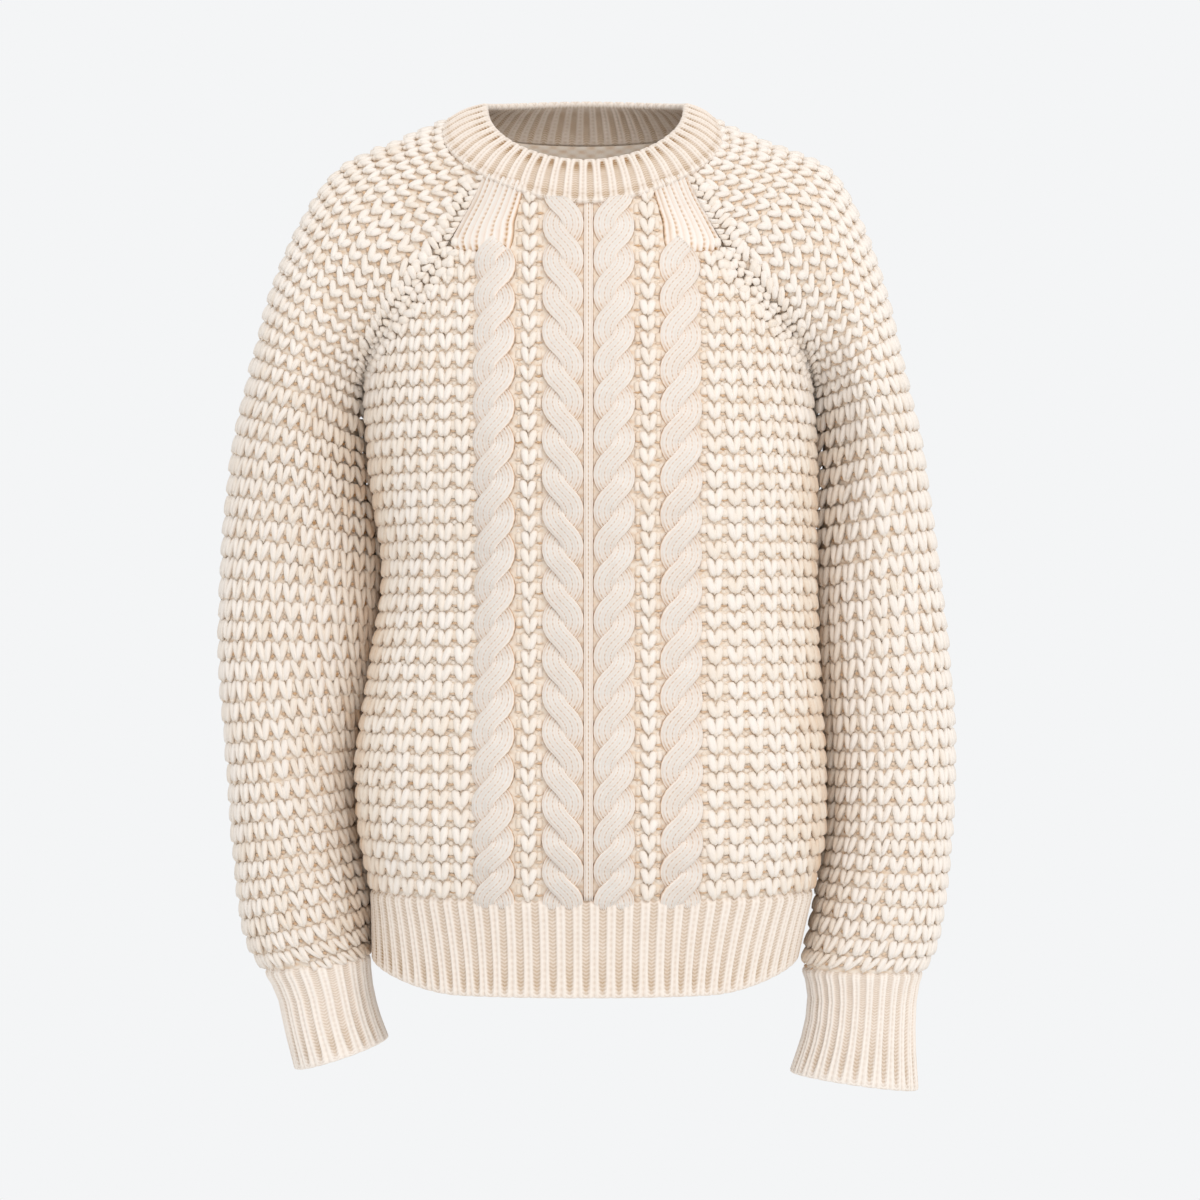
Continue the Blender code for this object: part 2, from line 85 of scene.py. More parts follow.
sleeve = {
    "yokeSteps": 5, "cuffRow": 14, "lastRow": 17, "neckPullRows": 2.5, "foldEdgeFade": 0.06,
    "right": np.array([         # outer x and z, middle y, front, back, inner x and z
        (0.1035, 0.0000, 0.004, 0.0706, 0.0690, 0.1660, -0.1300),
        (0.1430, -0.0165, 0.004, 0.0745, 0.0775, 0.1660, -0.1450),
        (0.1840, -0.0370, 0.003, 0.0755, 0.0810, 0.1660, -0.1600),
        (0.2105, -0.0720, 0.002, 0.0740, 0.0800, 0.1660, -0.1750),
        (0.2350, -0.1270, 0.001, 0.0690, 0.0730, 0.1660, -0.1900),
        (0.2515, -0.1900, 0.000, 0.0640, 0.0640, 0.1660, -0.2050),
        (0.2645, -0.2380, 0.010, 0.0610, 0.0620, 0.1670, -0.2450),
        (0.2725, -0.2900, 0.020, 0.0570, 0.0590, 0.1595, -0.2920),
        (0.2772, -0.3450, 0.026, 0.0530, 0.0560, 0.1530, -0.3450),
        (0.2785, -0.4100, 0.028, 0.0530, 0.0550, 0.1605, -0.4150),
        (0.2730, -0.4750, 0.026, 0.0540, 0.0550, 0.1715, -0.4800),
        (0.2675, -0.5400, 0.022, 0.0530, 0.0530, 0.1700, -0.5400),
        (0.2615, -0.5950, 0.016, 0.0500, 0.0500, 0.1620, -0.5850),
        (0.2540, -0.6220, 0.012, 0.0470, 0.0470, 0.1615, -0.6110),
        (0.2430, -0.6395, 0.009, 0.0435, 0.0435, 0.1620, -0.6270),
        (0.2325, -0.6575, 0.007, 0.0400, 0.0400, 0.1610, -0.6460),
        (0.2262, -0.6840, 0.004, 0.0400, 0.0400, 0.1560, -0.6680),
        (0.2185, -0.7125, 0.001, 0.0405, 0.0405, 0.1480, -0.6890),
    ]),
    "left": np.array([
        (0.0970, 0.0000, 0.004, 0.0706, 0.0690, 0.1700, -0.1300),
        (0.1345, -0.0165, 0.004, 0.0745, 0.0775, 0.1700, -0.1450),
        (0.1815, -0.0370, 0.003, 0.0755, 0.0810, 0.1700, -0.1600),
        (0.2040, -0.0720, 0.002, 0.0740, 0.0800, 0.1700, -0.1750),
        (0.2240, -0.1270, 0.001, 0.0700, 0.0740, 0.1700, -0.1900),
        (0.2390, -0.1900, 0.000, 0.0670, 0.0670, 0.1700, -0.2050),
        (0.2520, -0.2400, 0.010, 0.0650, 0.0670, 0.1745, -0.2450),
        (0.2605, -0.2900, 0.020, 0.0620, 0.0640, 0.1735, -0.2920),
        (0.2685, -0.3450, 0.026, 0.0590, 0.0610, 0.1715, -0.3450),
        (0.2760, -0.4100, 0.028, 0.0570, 0.0590, 0.1740, -0.4150),
        (0.2795, -0.4750, 0.026, 0.0560, 0.0570, 0.1785, -0.4800),
        (0.2765, -0.5400, 0.022, 0.0530, 0.0530, 0.1790, -0.5400),
        (0.2700, -0.5950, 0.016, 0.0490, 0.0490, 0.1710, -0.5900),
        (0.2635, -0.6230, 0.012, 0.0460, 0.0460, 0.1645, -0.6200),
        (0.2545, -0.6400, 0.009, 0.0420, 0.0420, 0.1620, -0.6370),
        (0.2490, -0.6580, 0.007, 0.0370, 0.0370, 0.1665, -0.6550),
        (0.2475, -0.6900, 0.004, 0.0340, 0.0340, 0.1635, -0.6820),
        (0.2495, -0.7290, 0.001, 0.0300, 0.0300, 0.1525, -0.7150),
    ]),
    # soft folds: from row, to row, place round the arm, width and depth
    "rightFolds": ((2.6, 8.4, 0.135, 0.085, 0.0085), (2.6, 8.0, 0.865, 0.085, 0.0070),
                   (5.5, 11.0, 0.300, 0.060, 0.0020)),
    "leftFolds": ((2.8, 8.6, 0.135, 0.085, 0.0080), (2.6, 8.0, 0.865, 0.085, 0.0070),
                  (6.0, 12.0, 0.320, 0.060, 0.0020)),
}


def smoothStep(value):
    value = np.clip(value, 0.0, 1.0)
    return value * value * (3.0 - 2.0 * value)


def unit(vectors):
    return vectors / np.linalg.norm(vectors, axis=-1, keepdims=True)


def lengthAlong(points, axis=0):        # how far each point of a row lies from the first one
    steps = np.diff(points, axis=axis, prepend=np.take(points, [0], axis=axis))
    return np.cumsum(np.linalg.norm(steps, axis=-1), axis=axis)


def smoothCurve(knots, values, at):
    slopes = np.gradient(values, knots, axis=0)
    low = np.clip(np.searchsorted(knots, at) - 1, 0, len(knots) - 2)
    step = (knots[low + 1] - knots[low])[..., None]
    part = ((at - knots[low]) / (knots[low + 1] - knots[low]))[..., None]
    rise = part * part * (3.0 - 2.0 * part)
    return (values[low] * (1.0 - rise) + values[low + 1] * rise
            + slopes[low] * part * (1.0 - part) ** 2 * step
            - slopes[low + 1] * part * part * (1.0 - part) * step)


def torsoPoint(z, angle):
    z, angle = np.broadcast_arrays(z, angle)
    right, left, front, back, power = np.moveaxis(
        smoothCurve(body["sections"][:, 0], body["sections"][:, 1:], z), -1, 0)
    across, along = np.sin(angle), np.cos(angle)
    halfWidth = np.where(across < 0.0, right, left)
    depth = np.where(along > 0.0, front, back)
    reach = (np.abs(across / halfWidth) ** power + np.abs(along / depth) ** power) ** (-1.0 / power)
    return np.stack([reach * across, -reach * along, z], axis=-1)


def neckSeamHeight(angle):
    turn = np.cos(angle)
    return np.where(turn > 0.0, -body["neckDropFront"] * turn, body["neckDropBack"] * turn)


def raglanSeam(cut, down):
    start, sweep = cut      # degrees round from the front centre, and how far the seam turns
    side = np.sign(90.0 - start)
    bend = (90.0 - start) - side * sweep
    angle = np.radians(start + side * sweep * down + bend * down ** 3)
    startZ = neckSeamHeight(np.radians(start))
    return startZ + (body["underarmZ"] - startZ) * down, angle


def gridNormals(points):
    normals = np.cross(np.gradient(points, axis=1), np.gradient(points, axis=0))
    return normals / np.maximum(np.linalg.norm(normals, axis=-1, keepdims=True), 1e-9)


def halfSection(edge, outer, depth, forward, share):
    edgeDepth = np.abs(edge[:, 1] - outer[:, 1])
    depth = np.maximum(depth, edgeDepth)
    start = np.arcsin(np.clip(edgeDepth / depth, 0.0, 1.0))
    turn = start[:, None] + (np.pi - start[:, None]) * share[None, :]
    inwards = (1.0 + np.cos(turn)) / (1.0 + np.cos(start[:, None]))
    points = outer[:, None, :] + (edge - outer)[:, None, :] * inwards[..., None]
    points[..., 1] = outer[:, None, 1] + forward * depth[:, None] * np.sin(turn)
    return points


def sleevePoints(side, rows, share):
    sections = sleeve["right"] if side < 0 else sleeve["left"]
    folds = sleeve["rightFolds"] if side < 0 else sleeve["leftFolds"]
    sizes = smoothCurve(np.arange(len(sections), dtype=float), sections, rows)
    outX, outZ, midY, front, back, inX, inZ = np.moveaxis(sizes, -1, 0)
    outer = np.stack([side * outX, midY, outZ], axis=-1)
    frontEdge = np.stack([side * inX, midY, inZ], axis=-1)
    backEdge = frontEdge.copy()
    yoke = rows <= sleeve["yokeSteps"]
    down = rows[yoke] / sleeve["yokeSteps"]
    z, angle = raglanSeam(body["raglanFront"], down)
    frontEdge[yoke] = torsoPoint(z, side * angle)
    z, angle = raglanSeam(body["raglanBack"], down)
    backEdge[yoke] = torsoPoint(z, side * angle)
    middle = len(share) // 2
    grid = np.empty((len(rows), len(share), 3))
    grid[:, :middle + 1] = halfSection(frontEdge, outer, front, -1.0, 2.0 * share[:middle + 1])
    grid[:, middle:] = halfSection(backEdge, outer, back, 1.0, 2.0 - 2.0 * share[middle:])
    if rows[0] == 0.0:      # the top row is pulled onto the neck seam
        frontCut, backCut = body["raglanFront"][0], body["raglanBack"][0]
        neckAngle = np.radians(frontCut + (backCut - frontCut) * share)
        neckPull = torsoPoint(neckSeamHeight(neckAngle), side * neckAngle) - grid[0]
        fade = np.clip(1.0 - rows / sleeve["neckPullRows"], 0.0, 1.0) ** 2
        grid += neckPull[None] * fade[:, None, None]
    depths = np.zeros((len(rows), len(share)))
    edgeFade = np.clip(np.minimum(share, 1.0 - share) / sleeve["foldEdgeFade"], 0.0, 1.0)
    for fromRow, toRow, place, width, depth in folds:
        along = np.clip((rows - fromRow) / (toRow - fromRow), 0.0, 1.0)
        across = np.exp(-((share - place) / width) ** 2)
        depths += depth * np.sin(np.pi * along)[:, None] * (across * edgeFade)[None, :]
    return grid + gridNormals(grid) * (side * depths[..., None])


# A cloth is a table of places and outward directions. Its s runs across the knitting and its t
# up along it, both in metres, so a stitch drawn flat can be laid on it.
cloth = {
    "step": 0.0015, "torsoT": (-0.590, 0.012), "torsoReach": 0.30, "torsoTurn": 1.9,
    "sleeveReach": 0.21, "belowCuffSeam": 0.02, "torsoSeamRoom": 0.0085, "sleeveSeamRoom": 0.0095,
    # the inner side of a sleeve swells below the armpit: how high, long and wide, and how far
    # above the armpit it starts; the right one swells again beside the hem, by a share of that
    "swell": 0.0042, "swellLength": 0.17, "swellWidth": 0.035, "swellAbove": 0.004,
    "hemSwell": 0.5, "hemSwellT": -0.59, "hemSwellLength": 0.15,
}


def torsoCloth(facing, cut):
    t = np.arange(*cloth["torsoT"], cloth["step"])
    turns = np.linspace(-cloth["torsoTurn"], cloth["torsoTurn"], 761)
    ring = torsoPoint(t[:, None], facing + turns[None, :])
    arc = lengthAlong(ring, 1)
    arc -= arc[:, len(turns) // 2][:, None]
    startZ, _ = raglanSeam(cut, np.zeros(1))
    down = np.clip((t - startZ) / (body["underarmZ"] - startZ), 0.0, 1.0)
    seamTurn = np.abs(facing - raglanSeam(cut, down)[1])
    left = np.array([np.interp(-a, turns, row) for a, row in zip(seamTurn, arc)])
    right = np.array([np.interp(a, turns, row) for a, row in zip(seamTurn, arc)])
    underarm = np.searchsorted(t, body["underarmZ"])
    below = t <= body["underarmZ"]
    for edge, sign in ((left, -1), (right, 1)):     # the side seams stay in line with the stitches
        part = np.clip(arc[below] / edge[below][:, None], 0.0, 1.3)
        arc[below] += (edge[underarm] - edge[below])[:, None] * part ** 3
        edge[below] = edge[underarm]
    s = np.arange(-cloth["torsoReach"], cloth["torsoReach"], cloth["step"])
    turn = np.stack([np.interp(s, row, turns) for row in arc])
    points = torsoPoint(t[:, None], facing + turn)
    neckTurn = np.linspace(-seamTurn[-1], seamTurn[-1], 121)
    neckZ = neckSeamHeight(facing + neckTurn)
    neckS = [np.interp(a, turns, arc[np.searchsorted(t, z)]) for a, z in zip(neckTurn, neckZ)]
    return {"s": s, "t": t, "points": points, "normals": gridNormals(points),
            "left": left, "right": right, "neckS": np.array(neckS), "neckT": neckZ,
            "bottom": body["hemRibTopZ"], "armT": body["underarmZ"],
            "seamRoom": cloth["torsoSeamRoom"]}


def sleeveCloth(side):
    rows = np.linspace(0.0, sleeve["lastRow"], 681)
    share = np.linspace(0.0, 1.0, 321)
    dense = sleevePoints(side, rows, share)
    outward = gridNormals(dense) * -side
    if side < 0:            # on the right sleeve the stitches run round to the front
        dense, outward = dense[:, ::-1], outward[:, ::-1]
    middle = len(share) // 2
    down = lengthAlong(dense[:, middle])        # along the outer side of the arm
    cuffDown = np.interp(sleeve["cuffRow"], rows, down)
    t = np.arange(-cuffDown - cloth["belowCuffSeam"], cloth["step"], cloth["step"])
    at = np.interp(-t, down, rows) / rows[1]
    low = np.clip(at.astype(int), 0, len(rows) - 2)
    part = (at - low)[:, None, None]
    ring = dense[low] * (1.0 - part) + dense[low + 1] * part
    out = outward[low] * (1.0 - part) + outward[low + 1] * part
    arc = lengthAlong(ring, 1)
    arc -= arc[:, middle][:, None]
    s = np.arange(-cloth["sleeveReach"], cloth["sleeveReach"], cloth["step"])
    points = np.stack([[np.interp(s, a, r[:, k]) for k in range(3)] for a, r in zip(arc, ring)])
    normals = np.stack([[np.interp(s, a, r[:, k]) for k in range(3)] for a, r in zip(arc, out)])
    armT = np.interp(sleeve["yokeSteps"], rows, -down)
    edge = np.where(s[None, :] < 0.0, -arc[:, :1], arc[:, -1:])
    near = np.exp(-((np.abs(s)[None, :] - edge) / cloth["swellWidth"]) ** 2)
    part = (armT + cloth["swellAbove"] - t) / cloth["swellLength"]
    below = np.sin(np.pi * np.clip(part, 0.0, 1.0))
    if side < 0:
        part = (cloth["hemSwellT"] - t) / cloth["hemSwellLength"]
        below += cloth["hemSwell"] * np.sin(np.pi * np.clip(part, 0.0, 1.0))
    points += normals * (cloth["swell"] * near * below[:, None])[:, None, :]
    return {"s": s, "t": t, "points": np.moveaxis(points, 1, -1),
            "normals": np.moveaxis(normals, 1, -1), "left": arc[:, 0], "right": arc[:, -1],
            "neckS": np.array([-1.0, 1.0]), "neckT": np.zeros(2), "bottom": -cuffDown,
            "armT": armT, "seamRoom": cloth["sleeveSeamRoom"]}


def onCloth(sheet, s, t, height):
    i = np.clip((t - sheet["t"][0]) / cloth["step"], 0.0, len(sheet["t"]) - 1.001)
    j = np.clip((s - sheet["s"][0]) / cloth["step"], 0.0, len(sheet["s"]) - 1.001)
    i0, j0 = i.astype(int), j.astype(int)
    a, b = (i - i0)[..., None], (j - j0)[..., None]
    place = 0.0
    outward = 0.0
    for di, dj, weight in ((0, 0, (1 - a) * (1 - b)), (1, 0, a * (1 - b)), (0, 1, (1 - a) * b),
                           (1, 1, a * b)):
        place = place + sheet["points"][i0 + di, j0 + dj] * weight
        outward = outward + sheet["normals"][i0 + di, j0 + dj] * weight
    return place + unit(outward) * height[..., None]


def squeezed(value, limit, margin):     # keeps a value below its limit, ever closer to it
    past = np.maximum(value - (limit - margin), 0.0)
    return np.where(past > 0.0, limit - margin * np.exp(-past / margin), value)


def seamsAround(sheet, s, t):       # the left, right and top seam in line with each place
    return (np.interp(t, sheet["t"], sheet["left"]), np.interp(t, sheet["t"], sheet["right"]),
            np.interp(s, sheet["neckS"], sheet["neckT"]))


# How close to a seam the knitting starts to sink, and how far past the neck and the ribs that is.
tuck = {"fade": 0.0025, "pastNeck": 0.002, "pastRibs": 0.0035, "overRibs": 0.0025, "cut": 0.0015}


def pulledIn(sheet, s, t, height, margin, pull, over):
    # Knitting stays within its seams, over the ribs by no more than stated, and sinks beside them.
    left, right, top = seamsAround(sheet, s, t)
    s = squeezed(s, right, margin)
    s = -squeezed(-s, -left, margin)
    t = squeezed(t, top, margin)
    t = -squeezed(-t, (over - sheet["bottom"]) * np.ones_like(t), margin)
    free = np.minimum.reduce([right - s, s - left, tuck["pastNeck"] + top - t,
                              tuck["pastRibs"] + over + t - sheet["bottom"]])
    return s, t, height - pull * np.exp(-np.maximum(free, 0.0) / tuck["fade"])


def insideSeams(sheet, s, t, room):
    left, right, top = seamsAround(sheet, s, t)
    bottom = sheet["bottom"] - tuck["cut"]
    return (s > left + room) & (s < right - room) & (t < top) & (t > bottom)


frontCloth = torsoCloth(0.0, body["raglanFront"])
backCloth = torsoCloth(np.pi, body["raglanBack"])
rightCloth = sleeveCloth(-1)
leftCloth = sleeveCloth(1)
print("cloth laid out")


def linear(hexColour):      # sRGB hex to the linear colour of a shader
    parts = [int(hexColour[i:i + 2], 16) / 255.0 for i in (1, 3, 5)]
    return [c / 12.92 if c <= 0.04045 else ((c + 0.055) / 1.055) ** 2.4 for c in parts] + [1.0]


def addNode(material, kind, links=(), **settings):
    node = material.node_tree.nodes.new(kind)
    for name, value in settings.items():
        if name.startswith("in_"):
            key = name[3:]
            node.inputs[int(key) if key.isdigit() else key.replace("_", " ")].default_value = value
        else:
            setattr(node, name, value)
    for source, target in links:
        material.node_tree.links.new(source, node.inputs[target])
    return node


def colourSteps(node, steps):
    ramp, steps = node.color_ramp, list(steps)
    while len(ramp.elements) < len(steps):
        ramp.elements.new(0.5)
    for element, (place, colour) in zip(ramp.elements, steps):
        element.position = place
        element.color = linear(colour)


# Lambswool in a thick soft-spun yarn. Its fine fibres scatter light, so it is matt with a pale
# sheen at grazing angles. Between the stitches it is painted warmer and darker, painted shade
# standing in for the light that sinks there and comes out warm.
wool = {
    "sheen": 0.35, "sheenTint": "#fff4e4", "sheenRoughness": 0.45, "roughness": 0.92,
    "specular": 0.18, "bump": 0.5, "bumpHeight": 0.0006, "holeHeight": -1.6,
    # sizes of the fibres, of the flecks of colour and of the heathered patches, in metres, and
    # how much the last two count in the colour
    "fibre": 0.0009, "fleck": 0.0022, "heather": 0.011, "fleckShare": 0.14, "heatherShare": 0.22,
    # colours from the top of a stitch to the painted shade at the bottom of a gap, and where each
    # one lies
    "crest": "#f5ece3", "slope": "#eee0d0", "hollow": "#d4ae87", "deep": "#977046",
    "depths": (0.12, 0.42, 0.85, 1.0),
}


def woolMaterial(name, looks, dots=None):
    material = bpy.data.materials.new(name)
    material.use_nodes = True
    shader = material.node_tree.nodes["Principled BSDF"]
    shader.inputs["Roughness"].default_value = looks["roughness"]
    shader.inputs["Specular IOR Level"].default_value = looks["specular"]
    shader.inputs["Sheen Weight"].default_value = looks["sheen"]
    shader.inputs["Sheen Roughness"].default_value = looks["sheenRoughness"]
    shader.inputs["Sheen Tint"].default_value = linear(looks["sheenTint"])
    join = material.node_tree.links.new
    place = addNode(material, "ShaderNodeTexCoord").outputs["Object"]
    # each piece carries its painted shade, and its tone with painted light, as attributes
    hollow = addNode(material, "ShaderNodeAttribute", attribute_name="hollow").outputs["Fac"]
    tint = addNode(material, "ShaderNodeAttribute", attribute_name="tint").outputs["Fac"]
    heather = addNode(material, "ShaderNodeTexNoise", [(place, "Vector")],
                      in_Scale=1.0 / looks["heather"], in_Detail=3.0, in_Roughness=0.6)
    flecks = addNode(material, "ShaderNodeTexNoise", [(place, "Vector")],
                     in_Scale=1.0 / looks["fleck"], in_Detail=2.0, in_Roughness=0.7)
    # how deep the painted shade is here, with a little of the heather in it
    paintedShadeAndTone = addNode(material, "ShaderNodeMath", [(heather.outputs["Fac"], 0), (hollow, 2)],
                   operation="MULTIPLY_ADD", in_1=looks["heatherShare"])
    paintedShadeAndTone = addNode(material, "ShaderNodeMath", [(paintedShadeAndTone.outputs[0], 0), (tint, 1)], operation="ADD")
    paintedShadeAndTone = addNode(material, "ShaderNodeMath", [(flecks.outputs["Fac"], 0), (paintedShadeAndTone.outputs[0], 2)],
                   operation="MULTIPLY_ADD", in_1=looks["fleckShare"])
    # holes and chevrons add painted shade here, purl bumps painted light and shade
    if dots:
        paintedShadeAndTone = addNode(material, "ShaderNodeMath",
                       [(dots(material), 0), (paintedShadeAndTone.outputs[0], 1)], operation="ADD")
    colour = addNode(material, "ShaderNodeValToRGB", [(paintedShadeAndTone.outputs[0], "Fac")])
    colourSteps(colour, zip(looks["depths"], (looks[name] for name in
                                              ("crest", "slope", "hollow", "deep"))))
    join(colour.outputs["Color"], shader.inputs["Base Color"])
    fibre = addNode(material, "ShaderNodeTexNoise", [(place, "Vector")],
                    in_Scale=1.0 / looks["fibre"], in_Detail=3.0, in_Roughness=0.65)
    height = fibre.outputs["Fac"]
    if dots:
        height = addNode(material, "ShaderNodeMath", [(dots(material), 0), (height, 2)],
                         operation="MULTIPLY_ADD", in_1=looks["holeHeight"]).outputs[0]
    bump = addNode(material, "ShaderNodeBump", [(height, "Height")],
                   in_Strength=looks["bump"], in_Distance=looks["bumpHeight"])
    join(bump.outputs["Normal"], shader.inputs["Normal"])
    return material


# How sharp the holes between wales are across and along, and how dark their painted shade is on
# cables and ribs. The chevrons in a gap, painted shade between its purl stitches: their slant, how
# many to a stitch, their swing and mean, and the gap's edge.
holes = {"sharp": (("X", 6.0), ("Y", 0.8)), "cable": 0.32, "rib": 0.17}
chevron = {"slant": 2.6, "perStitch": 1.7, "swing": 0.13, "mean": 0.14, "edge": (0.27, 0.20)}


def knitHoles(material, strength=holes["cable"]):
    # Small holes between the wales of plain knitting, one each stitch in every other groove,
    # painted dark as the shade inside them. The UV is counted in grooves across and in stitches
    # along.
    uv = addNode(material, "ShaderNodeUVMap", uv_map="knit").outputs["UV"]
    parts = addNode(material, "ShaderNodeSeparateXYZ", [(uv, 0)])
    waves = []
    for axis, sharp in holes["sharp"]:
        turn = addNode(material, "ShaderNodeMath", [(parts.outputs[axis], 0)],
                       operation="MULTIPLY", in_1=2.0 * math.pi)
        wave = addNode(material, "ShaderNodeMath", [(turn.outputs[0], 0)], operation="COSINE")
        half = addNode(material, "ShaderNodeMath", [(wave.outputs[0], 0)],
                       operation="MULTIPLY_ADD", in_1=0.5, in_2=0.5)
        waves.append(addNode(material, "ShaderNodeMath", [(half.outputs[0], 0)],
                             operation="POWER", in_1=sharp).outputs[0])
    both = addNode(material, "ShaderNodeMath", [(waves[0], 0), (waves[1], 1)], operation="MULTIPLY")
    return addNode(material, "ShaderNodeMath", [(both.outputs[0], 0)],
                   operation="MULTIPLY", in_1=strength).outputs[0]


def ribHoles(material):
    # In the gap between two ribs lie slanted purl stitches, painted as a row of small chevrons in
    # painted shade.
    uv = addNode(material, "ShaderNodeUVMap", uv_map="knit").outputs["UV"]
    parts = addNode(material, "ShaderNodeSeparateXYZ", [(uv, 0)])
    across = addNode(material, "ShaderNodeMath", [(parts.outputs["X"], 0)], operation="FRACT")
    off = addNode(material, "ShaderNodeMath", [(across.outputs[0], 0)],
                  operation="SUBTRACT", in_1=0.5)
    off = addNode(material, "ShaderNodeMath", [(off.outputs[0], 0)], operation="ABSOLUTE")
    slant = addNode(material, "ShaderNodeMath", [(off.outputs[0], 0)],
                    operation="MULTIPLY", in_1=2.0 * math.pi * chevron["slant"])
    turn = addNode(material, "ShaderNodeMath", [(parts.outputs["Y"], 0), (slant.outputs[0], 2)],
                   operation="MULTIPLY_ADD", in_1=2.0 * math.pi * chevron["perStitch"])
    wave = addNode(material, "ShaderNodeMath", [(turn.outputs[0], 0)], operation="SINE")
    half = addNode(material, "ShaderNodeMath", [(wave.outputs[0], 0)],
                   operation="MULTIPLY_ADD", in_1=chevron["swing"], in_2=chevron["mean"])
    outer, inner = chevron["edge"]
    inGap = addNode(material, "ShaderNodeMapRange", [(off.outputs[0], "Value")],
                    in_From_Min=outer, in_From_Max=inner, in_To_Min=0.0, in_To_Max=1.0)
    chevrons = addNode(material, "ShaderNodeMath",
                       [(half.outputs[0], 0), (inGap.outputs["Result"], 1)], operation="MULTIPLY")
    small = knitHoles(material, holes["rib"])
    return addNode(material, "ShaderNodeMath", [(chevrons.outputs[0], 0), (small, 1)],
                   operation="ADD").outputs[0]


# The inside of waffle stitch: rows of soft bumps, each a stitch wide and half a stitch tall, bumped
# in and painted lighter and darker with them as painted light and shade.
purl = {"pitches": (("X", 0.0145), ("Z", 0.0062)), "strength": 0.16}


def purlBumps(material):
    place = addNode(material, "ShaderNodeTexCoord").outputs["Object"]
    parts = addNode(material, "ShaderNodeSeparateXYZ", [(place, 0)])
    waves = []
    for axis, pitch in purl["pitches"]:
        turn = addNode(material, "ShaderNodeMath", [(parts.outputs[axis], 0)],
                       operation="MULTIPLY", in_1=2.0 * math.pi / pitch)
        waves.append(addNode(material, "ShaderNodeMath", [(turn.outputs[0], 0)],
                             operation="SINE").outputs[0])
    both = addNode(material, "ShaderNodeMath", [(waves[0], 0), (waves[1], 1)], operation="MULTIPLY")
    return addNode(material, "ShaderNodeMath", [(both.outputs[0], 0)],
                   operation="MULTIPLY", in_1=purl["strength"]).outputs[0]


waffleWool = woolMaterial("lambswool_waffle_knit", wool)
cableWool = woolMaterial("lambswool_cable_knit", dict(wool, crest="#fffaf4", slope="#fbecdf"),
                         knitHoles)
ribWool = woolMaterial("lambswool_rib_knit",
                       dict(wool, crest="#f8eee4", slope="#eadccf", hollow="#c6ae94"), ribHoles)
insideWool = woolMaterial("lambswool_inside_of_knit", wool, purlBumps)
print("wool materials made")


def newObject(name, mesh, material, nodes):
    mesh.shade_smooth()
    mesh.materials.append(material)
    piece = bpy.data.objects.new(name, mesh)
    bpy.context.scene.collection.objects.link(piece)
    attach(piece, "root")
    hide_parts(*nodes)
    return piece


def flatGrid(rows, columns):
    # a flat grid whose points are then placed by their own row and column
    bm = bmesh.new()
    bmesh.ops.create_grid(bm, x_segments=columns - 1, y_segments=rows - 1, size=0.5)
    mesh = bpy.data.meshes.new("grid")
    bm.to_mesh(mesh)
    bm.free()
    co = np.empty(len(mesh.vertices) * 3)
    mesh.vertices.foreach_get("co", co)
    co = co.reshape(-1, 3)
    return (mesh, np.rint((co[:, 1] + 0.5) * (rows - 1)).astype(int),
            np.rint((co[:, 0] + 0.5) * (columns - 1)).astype(int))


def setValues(mesh, **values):
    for name, value in values.items():
        layer = mesh.attributes.new(name, "FLOAT", "POINT")
        layer.data.foreach_set("value", np.ascontiguousarray(value, dtype=np.float32).ravel())


def gridMesh(points, hollow, tint, uv=None, closedAcross=False, closedAlong=False):
    mesh, i, j = flatGrid(*points.shape[:2])
    mesh.vertices.foreach_set("co", points[i, j].ravel())
    setValues(mesh, hollow=hollow[i, j], tint=np.broadcast_to(tint, hollow.shape)[i, j])
    if uv is not None:
        corner = np.empty(len(mesh.loops), dtype=int)
        mesh.loops.foreach_get("vertex_index", corner)
        layer = mesh.uv_layers.new(name="knit")
        layer.data.foreach_set("uv", uv[i, j][corner].ravel())
    bm = bmesh.new()
    bm.from_mesh(mesh)
    if closedAcross or closedAlong:
        bmesh.ops.remove_doubles(bm, verts=bm.verts, dist=1e-6)
    ends = [edge for edge in bm.edges if edge.is_boundary]
    if closedAcross != closedAlong and ends:
        bmesh.ops.holes_fill(bm, edges=ends, sides=0)
        caps = [face for face in bm.faces if len(face.verts) > 4]
        bmesh.ops.triangulate(bm, faces=caps)
    bmesh.ops.recalc_face_normals(bm, faces=bm.faces)
    bm.to_mesh(mesh)
    bm.free()
    return mesh


def stitchPiece(name, meshes, material, node):      # many small meshes as one piece of the knitting
    bm = bmesh.new()
    for mesh in meshes:
        bm.from_mesh(mesh)
    joined = bpy.data.meshes.new(name)
    bm.to_mesh(joined)
    bm.free()
    print(name + ":", len(joined.polygons), "faces")
    return newObject(name, joined, material, [node])


# One leaf of a knitted V: a round ball drawn out along its yarn, flat where it lies on the cloth.
leaf = {
    "round": 6, "flatBelow": 0.5, "deepest": -0.0044, "blunt": 0.4, "apart": 3.0,
    "margin": 0.0025, "pull": 0.0006,       # how it is pulled in beside a seam
    # a leaf this dark is a pocket of painted shadow, which is paler by this much at its rim; any
    # other gets painted shade by this much below this part of its height
    "pocket": 0.4, "rimPaler": 0.42, "footShade": 0.32, "footHeight": 0.34,
}


